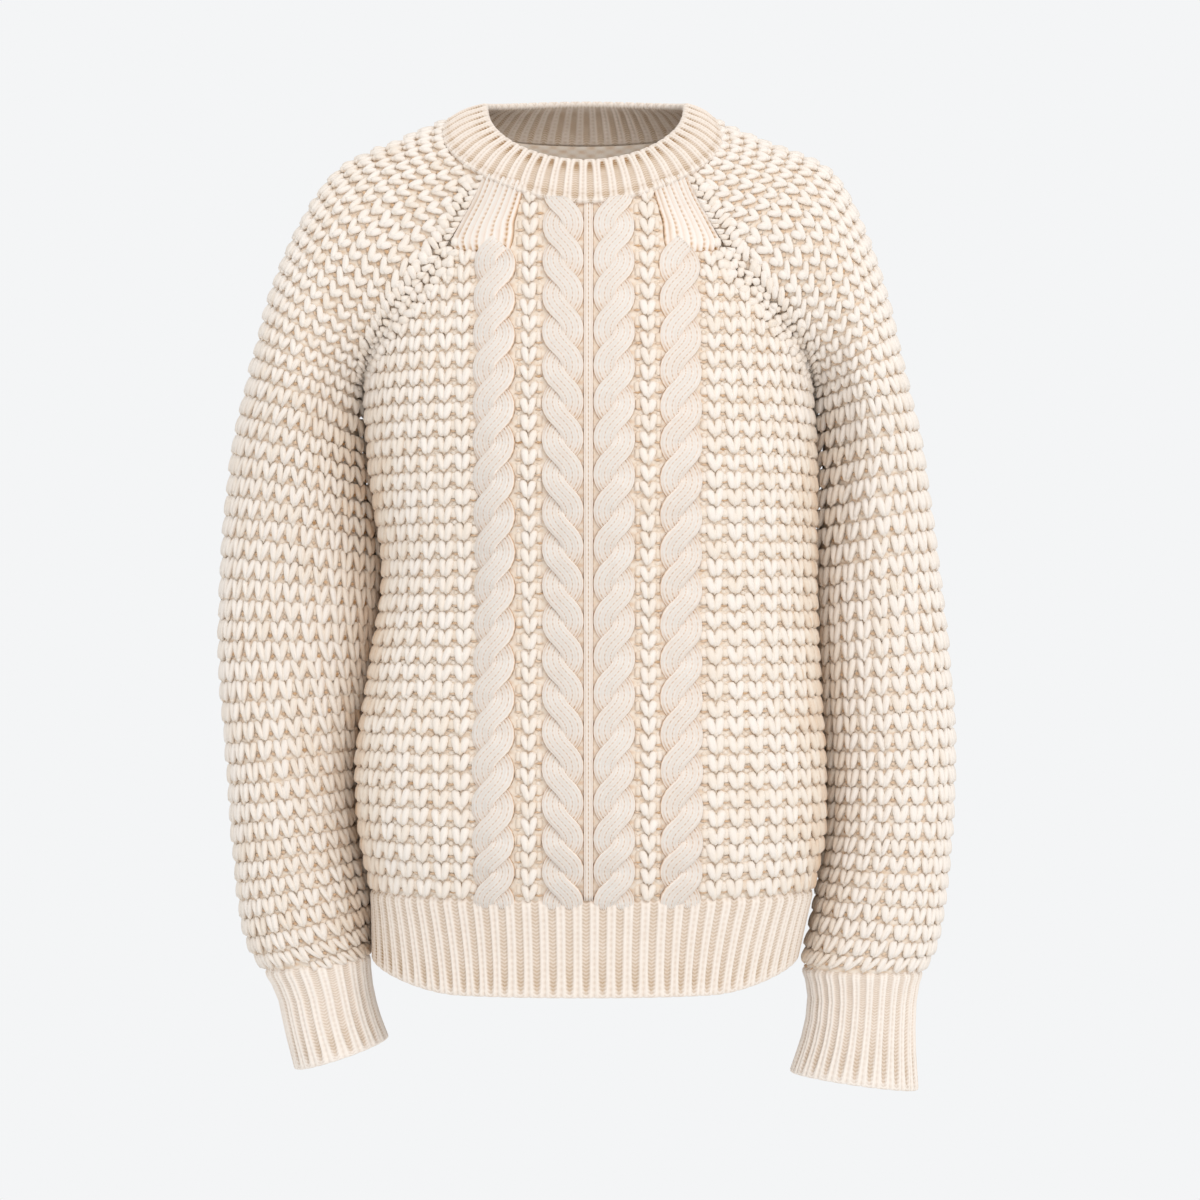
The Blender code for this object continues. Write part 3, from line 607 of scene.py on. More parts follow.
def leafMesh(count, rings):
    bm = bmesh.new()
    bmesh.ops.create_uvsphere(bm, u_segments=leaf["round"], v_segments=rings, radius=1.0)
    bmesh.ops.rotate(bm, verts=bm.verts, cent=(0, 0, 0),
                     matrix=Matrix.Rotation(math.pi / 2, 3, "X"))
    bmesh.ops.recalc_face_normals(bm, faces=bm.faces)
    mesh = bpy.data.meshes.new("leaf")
    bm.to_mesh(mesh)
    bm.free()
    many = bpy.data.objects.new("leaves", mesh)
    bpy.context.scene.collection.objects.link(many)
    array = many.modifiers.new("leaves", "ARRAY")
    array.use_relative_offset = False
    array.use_constant_offset = True
    array.constant_offset_displace = (leaf["apart"], 0.0, 0.0)
    array.count = count
    bpy.context.view_layer.update()
    made = bpy.data.meshes.new_from_object(many.evaluated_get(
        bpy.context.evaluated_depsgraph_get()))
    bpy.data.objects.remove(many)
    co = np.empty(len(made.vertices) * 3)
    made.vertices.foreach_get("co", co)
    co = co.reshape(count, -1, 3)
    co[..., 0] -= leaf["apart"] * np.arange(count)[:, None]
    return made, co


def layLeaves(sheet, leaves, rings=4, atSeam=False):
    # s, t and height of each middle, half width, half length, rise, lean, taper, painted shade,
    # tone with painted light and how far the lower end stands up
    s, t, height, wide, long, rise, lean, taper, hollow, tint, lift = [
        c[:, None] for c in leaves.T]
    mesh, co = leafMesh(len(leaves), rings)
    x, y, z = co[..., 0], co[..., 1], co[..., 2]
    blunt = np.sqrt(1.0 + y * y + leaf["blunt"] * y ** 4)
    x = x * blunt * (1.0 + taper * y) * wide
    height = height - lift * y
    y = y * long
    z = np.where(z < 0.0, z * leaf["flatBelow"], z) * blunt
    ds = x * np.cos(lean) + y * np.sin(lean)
    dt = y * np.cos(lean) - x * np.sin(lean)
    s, t = s + ds, t + dt
    height = np.maximum(height + z * rise, leaf["deepest"])
    if not atSeam:
        s, t, height = pulledIn(sheet, s, t, height, leaf["margin"], leaf["pull"],
                                tuck["overRibs"])
    mesh.vertices.foreach_set("co", onCloth(sheet, s, t, height).ravel())
    # painted shade: a pocket is darkest at its top, any other leaf darker at its foot
    pocket = np.clip(hollow / leaf["pocket"], 0.0, 1.0) ** 2
    foot = np.clip(leaf["footHeight"] - z, 0.0, 1.0)
    shade = (hollow * (1.0 - leaf["rimPaler"] * pocket * (1.0 - np.clip(z, 0.0, 1.0)))
             + leaf["footShade"] * (1.0 - pocket) * foot)
    setValues(mesh, hollow=shade, tint=np.broadcast_to(tint, shade.shape))
    return mesh


# Waffle stitch: columns of knitted Vs, and between them sunken columns of purl bumps. Each row that
# starts with places up the cloth gives a value at each of them: the pitch across and up, the tilt
# of the rows in degrees, the sideways drift of the columns, how far the yoke's stitch has taken
# over, and uneven, the share by which the leg towards +s is longer there and the other one shorter.
# A stitch has two legs, a core between them, a bar and a knot below it in the gap, and a painted
# shadow tick, a dark leaf painted where the pocket under the bar lies in shade. Each gives its
# place across and up, half width and half length in parts of a stitch, height and rise in metres,
# lean, taper, how far the lower end stands up, and painted shade. A second row of these is for the
# yoke. Rings is how finely each is made, and tone a whole piece's painted light, lighter or darker
# all over.
waffle = {
    "body": {
        "across": ((-0.60, -0.30, -0.20, 0.02), (0.0164, 0.0162, 0.0139, 0.0134)),
        "up": ((-0.60, -0.46, -0.42, 0.02), (0.0131, 0.0131, 0.0126, 0.0124)),
        "tilt": ((-0.60, 0.02), (0.0, 0.0)), "drift": ((-0.60, 0.02), (0.0, 0.0)),
        "yoke": ((-0.60, 0.02), (0.0, 0.0)), "rings": {"leg": 6, "core": 3, "bar": 3},
        "leg": ((0.186, 0.02, 0.206, 0.51, -0.0028, 0.0033, 0.28, 0.22, 0.0009, 0.0),),
        "core": ((0.0, -0.18, 0.160, 0.44, -0.0030, 0.0030, 0.0, 0.10, 0.0009, 0.10),),
        "bar": ((0.5, 0.12, 0.27, 0.34, -0.0042, 0.0028, 0.0, -0.15, 0.0006, 0.15),),
        "knot": ((0.5, -0.46, 0.20, 0.24, -0.0044, 0.0022, 0.0, 0.0, 0.0, 0.18),),
        "tick": ((0.5, -0.20, 0.26, 0.095, -0.0031, 0.0006, 0.0, 0.0, 0.0, 0.60),),
        "uneven": ((-0.60, 0.02), (0.0, 0.0)),
    },
    "rightSleeve": {
        "across": ((-0.65, -0.54, -0.40, -0.28, -0.15, 0.0),
                   (0.0120, 0.0130, 0.0114, 0.0115, 0.0128, 0.0130)),
        "up": ((-0.66, -0.60, -0.52, -0.36, -0.28, -0.18, -0.08),
               (0.0143, 0.0148, 0.0158, 0.0158, 0.0150, 0.0125, 0.0131)),
        "tilt": ((-0.65, -0.54, -0.40, -0.28, -0.15, -0.08, 0.0),
                 (-8.0, -9.0, 6.5, 13.0, 8.0, 11.0, 11.0)),
        "drift": ((-0.62, -0.46, -0.42, -0.28), (0.0, -0.014, -0.014, 0.0)),
        "yoke": ((-0.27, -0.17), (0.0, 1.0)), "rings": {"leg": 5, "core": 3, "bar": 3},
        "leg": ((0.204, 0.02, 0.228, 0.50, -0.0028, 0.0034, 0.22, 0.26, 0.0009, 0.0),
                (0.195, 0.05, 0.244, 0.49, -0.0028, 0.0035, 0.42, 0.06, 0.0009, 0.0)),
        "core": ((0.0, -0.18, 0.170, 0.44, -0.0030, 0.0030, 0.0, 0.10, 0.0009, 0.10),
                 (0.0, -0.08, 0.240, 0.38, -0.0030, 0.0031, 0.0, 0.2, 0.0010, 0.06)),
        "bar": ((0.5, 0.10, 0.140, 0.28, -0.0042, 0.0022, 0.0, -0.2, 0.0004, 0.28),
                (0.5, 0.20, 0.150, 0.20, -0.0046, 0.0012, 0.0, 0.0, 0.0, 0.26)),
        "tick": ((0.5, -0.22, 0.190, 0.150, -0.0032, 0.0006, 0.0, 0.0, 0.0, 0.64),
                 (0.5, -0.12, 0.230, 0.210, -0.0031, 0.0006, 0.0, 0.0, 0.0, 0.64)),
        "uneven": ((-0.27, -0.17), (0.0, -0.24)),
    },
}
waffle["leftSleeve"] = dict(
    waffle["rightSleeve"],
    across=((-0.65, -0.54, -0.40, -0.28, -0.15, 0.0),
            (0.0134, 0.0140, 0.0138, 0.0125, 0.0128, 0.0130)),
    up=((-0.65, -0.55, -0.40, -0.28, -0.18, 0.0),
        (0.0129, 0.0144, 0.0155, 0.0152, 0.0127, 0.0130)),
    tilt=((-0.65, -0.54, -0.40, -0.28, -0.15, -0.08, 0.0),
          (-2.0, -1.0, 8.0, 6.0, 6.0, 8.0, 8.0)),
    drift=((-0.62, -0.50, -0.42, -0.28), (0.0, 0.0, 0.004, 0.014)),
    # the left sleeve is painted a little lighter all over, as painted light
    uneven=((-0.27, -0.17), (0.0, 0.24)), tone=-0.08)
waffle["back"] = dict(waffle["body"], rings={"leg": 4, "core": 3, "bar": 3})
ringRadius = 0.06       # of the sleeve, over which a tilted row bends round

# How far hand knitting strays from all this: each stitch's place and tone, then each leaf's own
# place, height, size, lean and tone.
stray = {"place": 0.0003, "tone": 0.05, "leafAside": 0.00015, "leafHeight": 0.00022,
         "leafSize": 0.06, "leafLean": 0.06, "leafTone": 0.04}


def stitchRows(knit, first, last):
    rows = [first]
    while rows[-1] < last:
        rows.append(rows[-1] + np.interp(rows[-1], *knit["up"]))
    return np.array(rows)


sideSeamRoom = 0.0012       # that the stitches leave beside a side seam


def waffleLeaves(sheet, columns, bars, rows, knit, keep=None):
    # columns and bars: where the counting starts across the cloth, and the number of stitches
    found = {}
    for name, places, sides in (("leg", columns, (-1, 1)), ("core", columns, (0,)),
                                ("bar", bars, (0,)), ("knot", bars, (0,)), ("tick", bars, (0,))):
        if name not in knit:
            continue
        start, row = np.meshgrid(places[:, 0], rows)
        count, row = np.meshgrid(places[:, 1], rows)
        start, count, row = start.ravel(), count.ravel(), row.ravel()
        shapes = np.array(knit[name])[:, :, None]
        a, b, halfWide, halfLong, height, rise, lean, taper, lift, hollow = (
            shapes[0] + (shapes[-1] - shapes[0]) * np.interp(row, *knit["yoke"]))
        across, up = np.interp(row, *knit["across"]), np.interp(row, *knit["up"])
        slope = np.tan(np.radians(np.interp(row, *knit["tilt"])))
        n = len(row)
        s = start + count * across + random.normal(0.0, stray["place"], n)
        t = row - slope * ringRadius * (1.0 - np.cos(s / ringRadius))
        t += random.normal(0.0, stray["place"], n)
        s += np.interp(t, *knit["drift"])
        turn = -slope * np.sin(s / ringRadius)
        follow = (np.interp(t + 0.01, *knit["drift"]) - np.interp(t - 0.01, *knit["drift"])) / 0.02
        tone = knit.get("tone", 0.0) + random.normal(0.0, stray["tone"], n)
        uneven = np.interp(row, *knit["uneven"])
        for side in sides:
            size = random.normal(1.0, stray["leafSize"], (3, n))
            size[1] += side * uneven
            aside = side * a * across       # 0 for all but the legs
            found.setdefault(knit["rings"].get(name, 2), []).append(np.stack([
                s + aside + random.normal(0.0, stray["leafAside"], n),
                t + b * up + turn * aside, height + random.normal(0.0, stray["leafHeight"], n),
                halfWide * across * size[0], halfLong * up * size[1], rise * size[2],
                side * lean - 0.3 * turn + follow + random.normal(0.0, stray["leafLean"], n),
                taper, hollow, tone + random.normal(0.0, stray["leafTone"], n), lift], axis=1))
    rings = {key: np.concatenate(leaves) for key, leaves in found.items()}
    for key, leaves in rings.items():
        room = np.where(leaves[:, 1] > sheet["armT"], sheet["seamRoom"], sideSeamRoom)
        inside = insideSeams(sheet, leaves[:, 0], leaves[:, 1], room)
        if keep is not None:
            inside &= keep(leaves[:, 0], leaves[:, 1])
        leaves = leaves[inside]
        leaves[:, 8] += shadeBesideArm(sheet, leaves[:, 0], leaves[:, 1])
        rings[key] = leaves
    return rings


# Body and arm face each other closely below the underarm, and little light gets in there. The
# shade starts at one share of the way to the seam, is full at the next, and grows in downwards.
armShade = {"strength": 0.47, "starts": 0.62, "full": 0.95, "fadeDown": 0.05}


def shadeBesideArm(sheet, s, t):
    left, right, _ = seamsAround(sheet, s, t)
    outward = np.abs(s) / np.where(s < 0.0, -left, right)
    near = (outward - armShade["starts"]) / (armShade["full"] - armShade["starts"])
    below = np.clip((sheet["armT"] - t) / armShade["fadeDown"], 0.0, 1.0)
    return armShade["strength"] * smoothStep(near) * below


# The base cloth of a knitted piece: a thin shell just under its stitches, painted darker as the
# shade between them.
base = {"sunk": 0.0036, "wall": 0.0012, "hollow": 0.27, "tucked": 0.004}


def baseShell(name, points, side, node):
    normals = gridNormals(points) * side
    points = points - normals * base["sunk"]
    for edge, inner in ((0, 1), (-1, -2)):      # both ends are tucked in behind the ribs
        along = points[edge] - points[inner]
        points[edge] += unit(along) * base["tucked"]
    mesh = gridMesh(points, np.full(points.shape[:2], base["hollow"]), 0.0)
    piece = newObject(name, mesh, insideWool, [node])
    wall = piece.modifiers.new("wall", "SOLIDIFY")
    wall.thickness = base["wall"]
    wall.offset = -1.0
    if mesh.vertices[0].normal.dot(Vector(normals[0, 0])) < 0.0:
        mesh.flip_normals()
    return piece


def panelPoints(cut, facing, rows, across):
    down = np.linspace(0.0, 1.0, rows)
    share = np.linspace(-1.0, 1.0, across)
    seamZ, seamAngle = raglanSeam(cut, down)
    turn = share[None, :] * np.abs(facing - seamAngle)[:, None]
    dip = neckSeamHeight(facing + turn[0]) - seamZ[0]
    yokeZ = seamZ[:, None] + dip[None, :] * ((1.0 - down) ** 1.5)[:, None]
    belowZ = np.linspace(body["underarmZ"], body["hemRibTopZ"], rows)[1:]
    z = np.concatenate([yokeZ, np.repeat(belowZ[:, None], across, axis=1)])
    turn = np.concatenate([turn, np.repeat(turn[-1:], len(belowZ), axis=0)])
    return torsoPoint(z, facing + turn)


frontBase = baseShell("front_panel_cloth", panelPoints(body["raglanFront"], 0.0, 26, 49), -1,
                      "front_panel")
backBase = baseShell("back_panel_cloth", panelPoints(body["raglanBack"], np.pi, 26, 49), -1,
                     "back_panel")
sleeveRows = np.linspace(0.0, sleeve["cuffRow"], 71)
sleeveShare = np.linspace(0.0, 1.0, 49)
rightBase = baseShell("right_sleeve_cloth", sleevePoints(-1, sleeveRows, sleeveShare), 1,
                      "right_sleeve")
leftBase = baseShell("left_sleeve_cloth", sleevePoints(1, sleeveRows, sleeveShare), -1,
                     "left_sleeve")
print("base cloth made")

# The front's cables, as places across it in metres from its middle.
cables = {
    "period": 0.026, "ridges": 8, "ridgeRise": 0.0009, "waist": 0.08, "upright": 0.12,
    "crown": 0.0036, "sunk": -0.0034, "over": 0.0025, "under": 0.0014, "step": 0.0026,
    "stitch": 0.0033, "underShade": 0.12, "uneven": 0.02,
    # the last turn is eased from this far above the end, over this length, to this far above it
    "easeFrom": 0.065, "easeOver": 0.06, "easeTo": 0.005,
    # how long the round tip is, how much flatter it gets and how far it lies over the ribs
    "tip": 0.008, "tipFlatter": 0.55, "tipOver": 0.0085,
    "headDip": (0.0022, 0.004), "endDip": (0.0012, 0.003),      # depth and length
    "ropes": (              # middle, lean, from t, to t, start of the turn, swing, half width
        (-0.0162, -1, -0.0640, -0.5840, 0.0, 0.0071, 0.0084),
        (0.0208, 1, -0.0640, -0.5840, 0.0, 0.0071, 0.0084),
        (-0.0668, 1, -0.1020, -0.5840, 0.35, 0.0074, 0.0088),
        (0.0696, 1, -0.1020, -0.5840, 0.35, 0.0074, 0.0088),
    ),
    # the plain wales between the middle ropes, a little sunk
    "wales": {"middle": 0.00225, "halfWidth": 0.0038, "fromT": -0.0720, "toT": -0.5775,
              "step": 0.004, "height": -0.0034, "ridges": 4, "crown": 0.0018,
              "ridgeRise": 0.0007, "tint": 0.03},
    "single": (-0.0408, 0.0454), "outside": (-0.0910, 0.0950),
}


def ridgedBand(sheet, left, right, lift, ridges, crown, ridgeRise, stitch, tint=0.0, dark=0.0,
               grooveShade=0.18, atSeam=False, over=tuck["overRibs"], size=1.0):
    # A band of plain knitting: ridges run along it, and its underside is flat.
    u = np.linspace(-1.0, 1.0, 2 * ridges + 1)
    dome = np.sqrt(np.clip(1.0 - np.abs(u) ** 3.2, 0.0, 1.0))
    grain = np.where(np.arange(len(u)) % 2 == 1, 1.0, -1.0) * ridgeRise
    under = np.linspace(1.0, -1.0, 6)[1:-1]
    across = np.concatenate([u, under, u[:1]])
    rise = np.concatenate([dome * crown + grain, np.full(len(under), -0.0012),
                           (dome * crown + grain)[:1]])
    share = (across + 1.0) / 2.0
    s = left[:, :1] + (right[:, :1] - left[:, :1]) * share
    t = left[:, 1:] + (right[:, 1:] - left[:, 1:]) * share
    height = lift[:, None] + rise[None, :] * np.reshape(size, (-1, 1))
    if not atSeam:
        s, t, height = pulledIn(sheet, s, t, height, 0.003, 0.0012, over)
    points = onCloth(sheet, s, t, height)
    middle = (left + right) / 2.0
    run = lengthAlong(middle) + np.linalg.norm(middle[0] - left[0])
    groove = np.concatenate([np.arange(len(u)) / 4.0, np.full(len(under) + 1, 0.5)])
    uv = np.stack(np.broadcast_arrays(groove[None, :], (run / stitch)[:, None]), axis=-1)
    # painted shade: darker where the band lies low, at its edges, in its grooves and where it runs
    # under
    hollow = np.clip((-0.0016 - height) / 0.0045, 0.0, 1.0) + 0.10 * np.abs(across[None, :]) ** 6
    hollow = hollow + np.where(np.arange(len(across)) % 2 == 0, grooveShade, 0.0)[None, :]
    hollow = hollow + np.reshape(dark, (-1, 1))
    return gridMesh(points, hollow, tint, uv, closedAcross=True)


def ropeStrands(sheet, middle, lean, top, bottom, start, swing, halfWidth):
    meshes = []
    t = np.linspace(top, bottom, int((top - bottom) * 1.25 / cables["step"]))
    # the last turn is eased, so that both strands run straight down into the ribs
    last = start + (top - bottom - cables["easeTo"]) / cables["period"]
    ease = smoothStep((bottom + cables["easeFrom"] - t) / cables["easeOver"])
    turns = np.minimum(start + (top - t) / cables["period"], last) + (round(last) - last) * ease
    tip = np.clip((bottom + cables["tip"] - t) / cables["tip"], 0.0, 0.97)
    dip = sum(deep * np.exp(-away / reach) for away, (deep, reach) in (
        (top - t, cables["headDip"]), (t - bottom, cables["endDip"])))
    for strand in (0.0, math.pi):
        phase = math.pi * turns + strand
        sway = np.cos(phase)        # steep where it crosses, upright at both sides
        s = middle + lean * swing * sway * (1.0 + cables["upright"] * (1.0 - sway * sway))
        path = np.stack([s, t], axis=1)
        along = unit(np.gradient(path, axis=0))
        wave = np.sin(phase)
        wide = halfWidth * (1.0 - cables["waist"] * wave ** 4) * np.sqrt(1.0 - tip ** 2.5)
        side = np.stack([-along[:, 1], along[:, 0]], axis=1) * wide[:, None]
        lift = cables["sunk"] + np.where(wave > 0.0, cables["over"], cables["under"]) * wave - dip
        dark = cables["underShade"] * np.clip(-wave / 0.85, 0.0, 1.0) ** 1.4
        meshes.append(ridgedBand(sheet, path - side, path + side, lift, cables["ridges"],
                                 cables["crown"], cables["ridgeRise"], cables["stitch"],
                                 random.normal(0.0, cables["uneven"]), dark,
                                 over=cables["tipOver"],
                                 size=1.0 - cables["tipFlatter"] * tip ** 2))
    return meshes


cableMeshes = []
for rope in cables["ropes"]:
    cableMeshes += ropeStrands(frontCloth, *rope)

wales = cables["wales"]
down = np.arange(wales["fromT"], wales["toT"], -wales["step"])
line = np.stack([np.full(len(down), wales["middle"]), down], axis=1)
offset = np.array([wales["halfWidth"], 0.0])
cableMeshes.append(ridgedBand(frontCloth, line - offset, line + offset,
                              np.full(len(down), wales["height"]), wales["ridges"],
                              wales["crown"], wales["ridgeRise"], cables["stitch"],
                              wales["tint"]))

# Slanted ribs fan out from under the collar to the head of each side rope. Both edges are given,
# as places across and up the front. The stitches keep clear of them down to their lower end.
fans = {
    "ridges": 9, "crown": 0.0024, "ridgeRise": 0.0012, "stitch": 0.0036, "rows": 24,
    "grooveShade": 0.30, "height": -0.0028, "headDip": 0.0010, "endDip": (0.0006, 0.0014, 0.0022),
    "clear": 0.002, "innerS": (-0.052, 0.058), "lowerEnd": -0.1045,
    "left": (((-0.0785, -0.0490), (-0.0858, -0.0670), (-0.0934, -0.0800), (-0.0996, -0.0905),
              (-0.1040, -0.0990), (-0.1020, -0.1060)),
             ((-0.0440, -0.0580), (-0.0464, -0.0666), (-0.0502, -0.0800), (-0.0522, -0.0875),
              (-0.0525, -0.0970), (-0.0550, -0.1100))),
    "right": (((0.0480, -0.0580), (0.0510, -0.0666), (0.0550, -0.0800), (0.0570, -0.0875),
               (0.0575, -0.0970), (0.0590, -0.1100)),
              ((0.0783, -0.0490), (0.0856, -0.0670), (0.0934, -0.0800), (0.0996, -0.0905),
               (0.1046, -0.0990), (0.1045, -0.1060))),
}
lift = np.full(fans["rows"], fans["height"])
lift[0] -= fans["headDip"]
lift[-3:] -= fans["endDip"]
for side in ("left", "right"):
    paths = [smoothCurve(np.linspace(0.0, 1.0, len(knots)), np.array(knots),
                         np.linspace(0.0, 1.0, fans["rows"])) for knots in fans[side]]
    cableMeshes.append(ridgedBand(frontCloth, *paths, lift, fans["ridges"], fans["crown"],
                                  fans["ridgeRise"], fans["stitch"],
                                  grooveShade=fans["grooveShade"], atSeam=True))
frontCables = stitchPiece("front_cables", cableMeshes, cableWool, "front_panel")


def fanEdge(side, which, t):
    knots = np.array(fans[side][which])
    return np.interp(-t, -knots[:, 1], knots[:, 0])


def clearOfFans(s, t):
    leftInner, rightInner = fans["innerS"]
    leftOut = (s < fanEdge("left", 0, t) - fans["clear"]) | (s > leftInner)
    rightOut = (s > fanEdge("right", 1, t) + fans["clear"]) | (s < rightInner)
    return (leftOut & rightOut) | (t < fans["lowerEnd"])


# Where a raglan seam is sewn, the edge stitches of both sides bunch up in a chain of short leaves.
seam = {
    "spacing": 0.0080, "sunk": -0.0022, "rise": 0.0038, "taper": 0.15, "hollow": 0.02,
    # how unevenly they lie along and across the seam and up, their size, slant and tone
    "uneven": {"along": 0.0007, "aside": 0.0005, "up": 0.0004, "size": 0.10, "slant": 0.15,
               "tone": 0.05},
    # distance from the seam, half width, half length, slant from the seam, share of the spacing
    "leaves": ((0.0008, 0.0038, 0.0056, 1.05, 0.0), (0.0086, 0.0037, 0.0058, -0.80, 0.5)),
    # round ends of yarn below the fanned ribs, as places across and up the front
    "ends": ((-0.0995, -0.1003), (0.1005, -0.1006), (-0.1045, -0.1070), (-0.1130, -0.1168),
             (-0.1030, -0.1163), (-0.1020, -0.1235), (0.1055, -0.1075), (0.1120, -0.1180),
             (0.1035, -0.1170)),
    "endSize": (0.0036, 0.0038, 0.0034),        # half width, half length and rise
    # the seam's chain on the front, and how far below the neck those of the others end
    "frontT": (-0.200, -0.104), "backTop": -0.012, "sleeveTop": -0.004,
}


def seamLeaves(sheet, side, fromT, toT):
    # side is -1 for the cloth's left edge and 1 for its right one
    t = np.linspace(fromT, toT, 400)
    s = np.interp(t, sheet["t"], sheet["left"] if side < 0 else sheet["right"])
    run = np.cumsum(np.hypot(np.diff(s, prepend=s[0]), np.diff(t, prepend=t[0])))
    uneven = seam["uneven"]
    found = []
    for inset, wide, long, slant, shift in seam["leaves"]:
        at = np.arange((0.5 + shift) * seam["spacing"], run[-1], seam["spacing"])
        n = len(at)
        at = at + random.normal(0.0, uneven["along"], n)
        ds, dt = (np.interp(at + 0.003, run, part) - np.interp(at - 0.003, run, part)
                  for part in (s, t))       # the way that the seam runs here
        size = np.maximum(np.hypot(ds, dt), 1e-6)
        ds, dt = ds / size, dt / size
        inset = inset + random.normal(0.0, uneven["aside"], n)
        found.append(np.stack([
            np.interp(at, run, s) - side * np.abs(dt) * inset,
            np.interp(at, run, t) + np.sign(dt) * side * ds * inset,
            seam["sunk"] + random.normal(0.0, uneven["up"], n),
            wide * random.normal(1.0, uneven["size"], n),
            long * random.normal(1.0, uneven["size"], n),
            seam["rise"] * random.normal(1.0, uneven["size"], n),
            np.arctan2(ds, dt) + side * slant + random.normal(0.0, uneven["slant"], n),
            np.full(n, seam["taper"]), np.full(n, seam["hollow"]),
            random.normal(0.0, uneven["tone"], n), np.zeros(n)], axis=1))
    return np.concatenate(found)


# The front: eleven columns outside each side rope, and a single one between the ropes of each
# side. The first row of stitches starts below the top of the ribs.
frontRows = {"startsBelow": 0.0054, "columns": 11, "singleBarAside": 0.0074}
bodyKnit = waffle["body"]
firstRow = body["hemRibTopZ"] - frontRows["startsBelow"]
outLeft, outRight = cables["outside"]
columns = [(outLeft, -k) for k in range(frontRows["columns"])]
columns += [(outRight, k) for k in range(frontRows["columns"])]
bars = [(outLeft, 0.5 - k) for k in range(frontRows["columns"] + 1)]
bars += [(outRight, k - 0.5) for k in range(frontRows["columns"] + 1)]
frontLeaves = waffleLeaves(frontCloth, np.array(columns), np.array(bars),
                           stitchRows(bodyKnit, firstRow, 0.0), bodyKnit, clearOfFans)
singleKnit = dict(
    bodyKnit, across=((-0.6, 0.0), (0.0138, 0.0138)), up=((-0.6, 0.0), (0.0120, 0.0120)),
    bar=((0.5, 0.14, 0.22, 0.42, -0.0048, 0.0026, 0.0, -0.1, 0.0, 0.20),),
    knot=((0.5, -0.44, 0.19, 0.24, -0.0048, 0.0022, 0.0, 0.0, 0.0, 0.24),))
columns = [(place, 0.0) for place in cables["single"]]
bars = [(place + sign * frontRows["singleBarAside"], 0.0) for place in cables["single"]
        for sign in (-1, 1)]
singleLeaves = waffleLeaves(frontCloth, np.array(columns), np.array(bars),
                            stitchRows(singleKnit, firstRow, 0.0), singleKnit)
frontMeshes = [layLeaves(frontCloth, leaves, rings)
               for group in (frontLeaves, singleLeaves) for rings, leaves in group.items()]
for side in (-1, 1):
    chain = seamLeaves(frontCloth, side, *seam["frontT"])
    frontMeshes.append(layLeaves(frontCloth, chain, 3, True))
ends = np.array([(s, t, seam["sunk"], *seam["endSize"], 0.0, 0.0, seam["hollow"], 0.0, 0.0)
                 for s, t in seam["ends"]])
frontMeshes.append(layLeaves(frontCloth, ends, 4, True))
frontStitches = stitchPiece("front_waffle_stitches", frontMeshes, waffleWool, "front_panel")


firstRowDown = 1.43     # how far the first row lies below the top of the ribs, in stitches


def waffleAll(name, sheet, knit, node, chainTop):       # in a lower and an upper piece
    reach = max(-sheet["left"].min(), sheet["right"].max())
    half = int(reach / min(knit["across"][1])) + 1
    columns = np.array([(0.0, k + 0.5) for k in range(-half, half)])
    bars = np.array([(0.0, k) for k in range(-half, half + 1)])
    rows = stitchRows(knit, sheet["bottom"] - firstRowDown * knit["up"][1][0], 0.02)
    pieces = []
    for part, some in zip(("_lower", "_upper"), np.array_split(rows, 2)):
        meshes = [layLeaves(sheet, leaves, rings) for rings, leaves in
                  waffleLeaves(sheet, columns, bars, some, knit).items()]
        if part == "_upper":
            meshes += [layLeaves(sheet, seamLeaves(sheet, side, sheet["armT"], chainTop), 4, True)
                       for side in (-1, 1)]
        pieces.append(stitchPiece(name + part, meshes, waffleWool, node))
    return pieces


backStitches = waffleAll("back_waffle_stitches", backCloth, waffle["back"], "back_panel",
                         seam["backTop"])
rightStitches = waffleAll("right_sleeve_stitches", rightCloth, waffle["rightSleeve"],
                          "right_sleeve", seam["sleeveTop"])
leftStitches = waffleAll("left_sleeve_stitches", leftCloth, waffle["leftSleeve"],
                         "left_sleeve", seam["sleeveTop"])

# Ribbing: each rib is a pair of plain wales, and a purl gap lies between it and the next. Widths
# across are parts of a rib's pitch, and places along a rib are shares of its length, from the
# seam at 0 to the free edge at 1.
rib = {
    "hemPitch": 0.0119, "neckRibs": 55, "rightCuffRibs": 20, "leftCuffRibs": 25, "samples": 14,
    "gapDepth": 0.0019, "gapWidth": 0.225, "gapSlope": 0.10, "gapAtEnds": 0.35,
    "groove": 0.0010, "wall": 0.0030, "neckWall": 0.0058, "edgeRound": 0.0016,
    "stitch": 0.0036, "hemLean": 0.008, "leanFrom": 0.06, "cornerLift": 0.018,
    "cornerShade": 0.34, "sunkTop": 0.0052, "neckRim": 0.0012,
    "neckEnds": 0.93,       # how far up to its fold the neckband's ribs reach
    # place and half width of the groove in each rib, of where its top sinks under the stitches
    # and of the neckband's raised rim, and then strength, place and half width of their shades
    "grooveAt": (0.0, 0.08), "sunkAt": (-0.10, 0.115), "rimAt": (0.02, 0.03),
    "grooveShade": (0.15, 0.0, 0.06), "rimShade": (0.22, 0.06, 0.03),
    "sunkShade": (0.16, -0.10, 0.06),
    # how far along the rib each row of points lies, and which of them the inside uses
    "along": np.array([-.10, -.04, .0, .035, .08, .2, .4, .6, .76, .89, .96, 1.0]),
    "inside": [0, 1, 3, 5, 8, 11], "thinnest": 0.0007,
}


def hump(x, place, halfWidth, power=2):
    return np.exp(-((x - place) / halfWidth) ** power)


def ringNormals(points, out):       # of a closed tube, on the side that out points to
    ringWise = np.roll(points[:, :-1], -1, axis=1) - np.roll(points[:, :-1], 1, axis=1)
    ringWise = np.concatenate([ringWise, ringWise[:, :1]], axis=1)
    normals = unit(np.cross(ringWise, np.gradient(points, axis=0)))
    return normals * np.sign((normals * out).sum(axis=-1, keepdims=True))


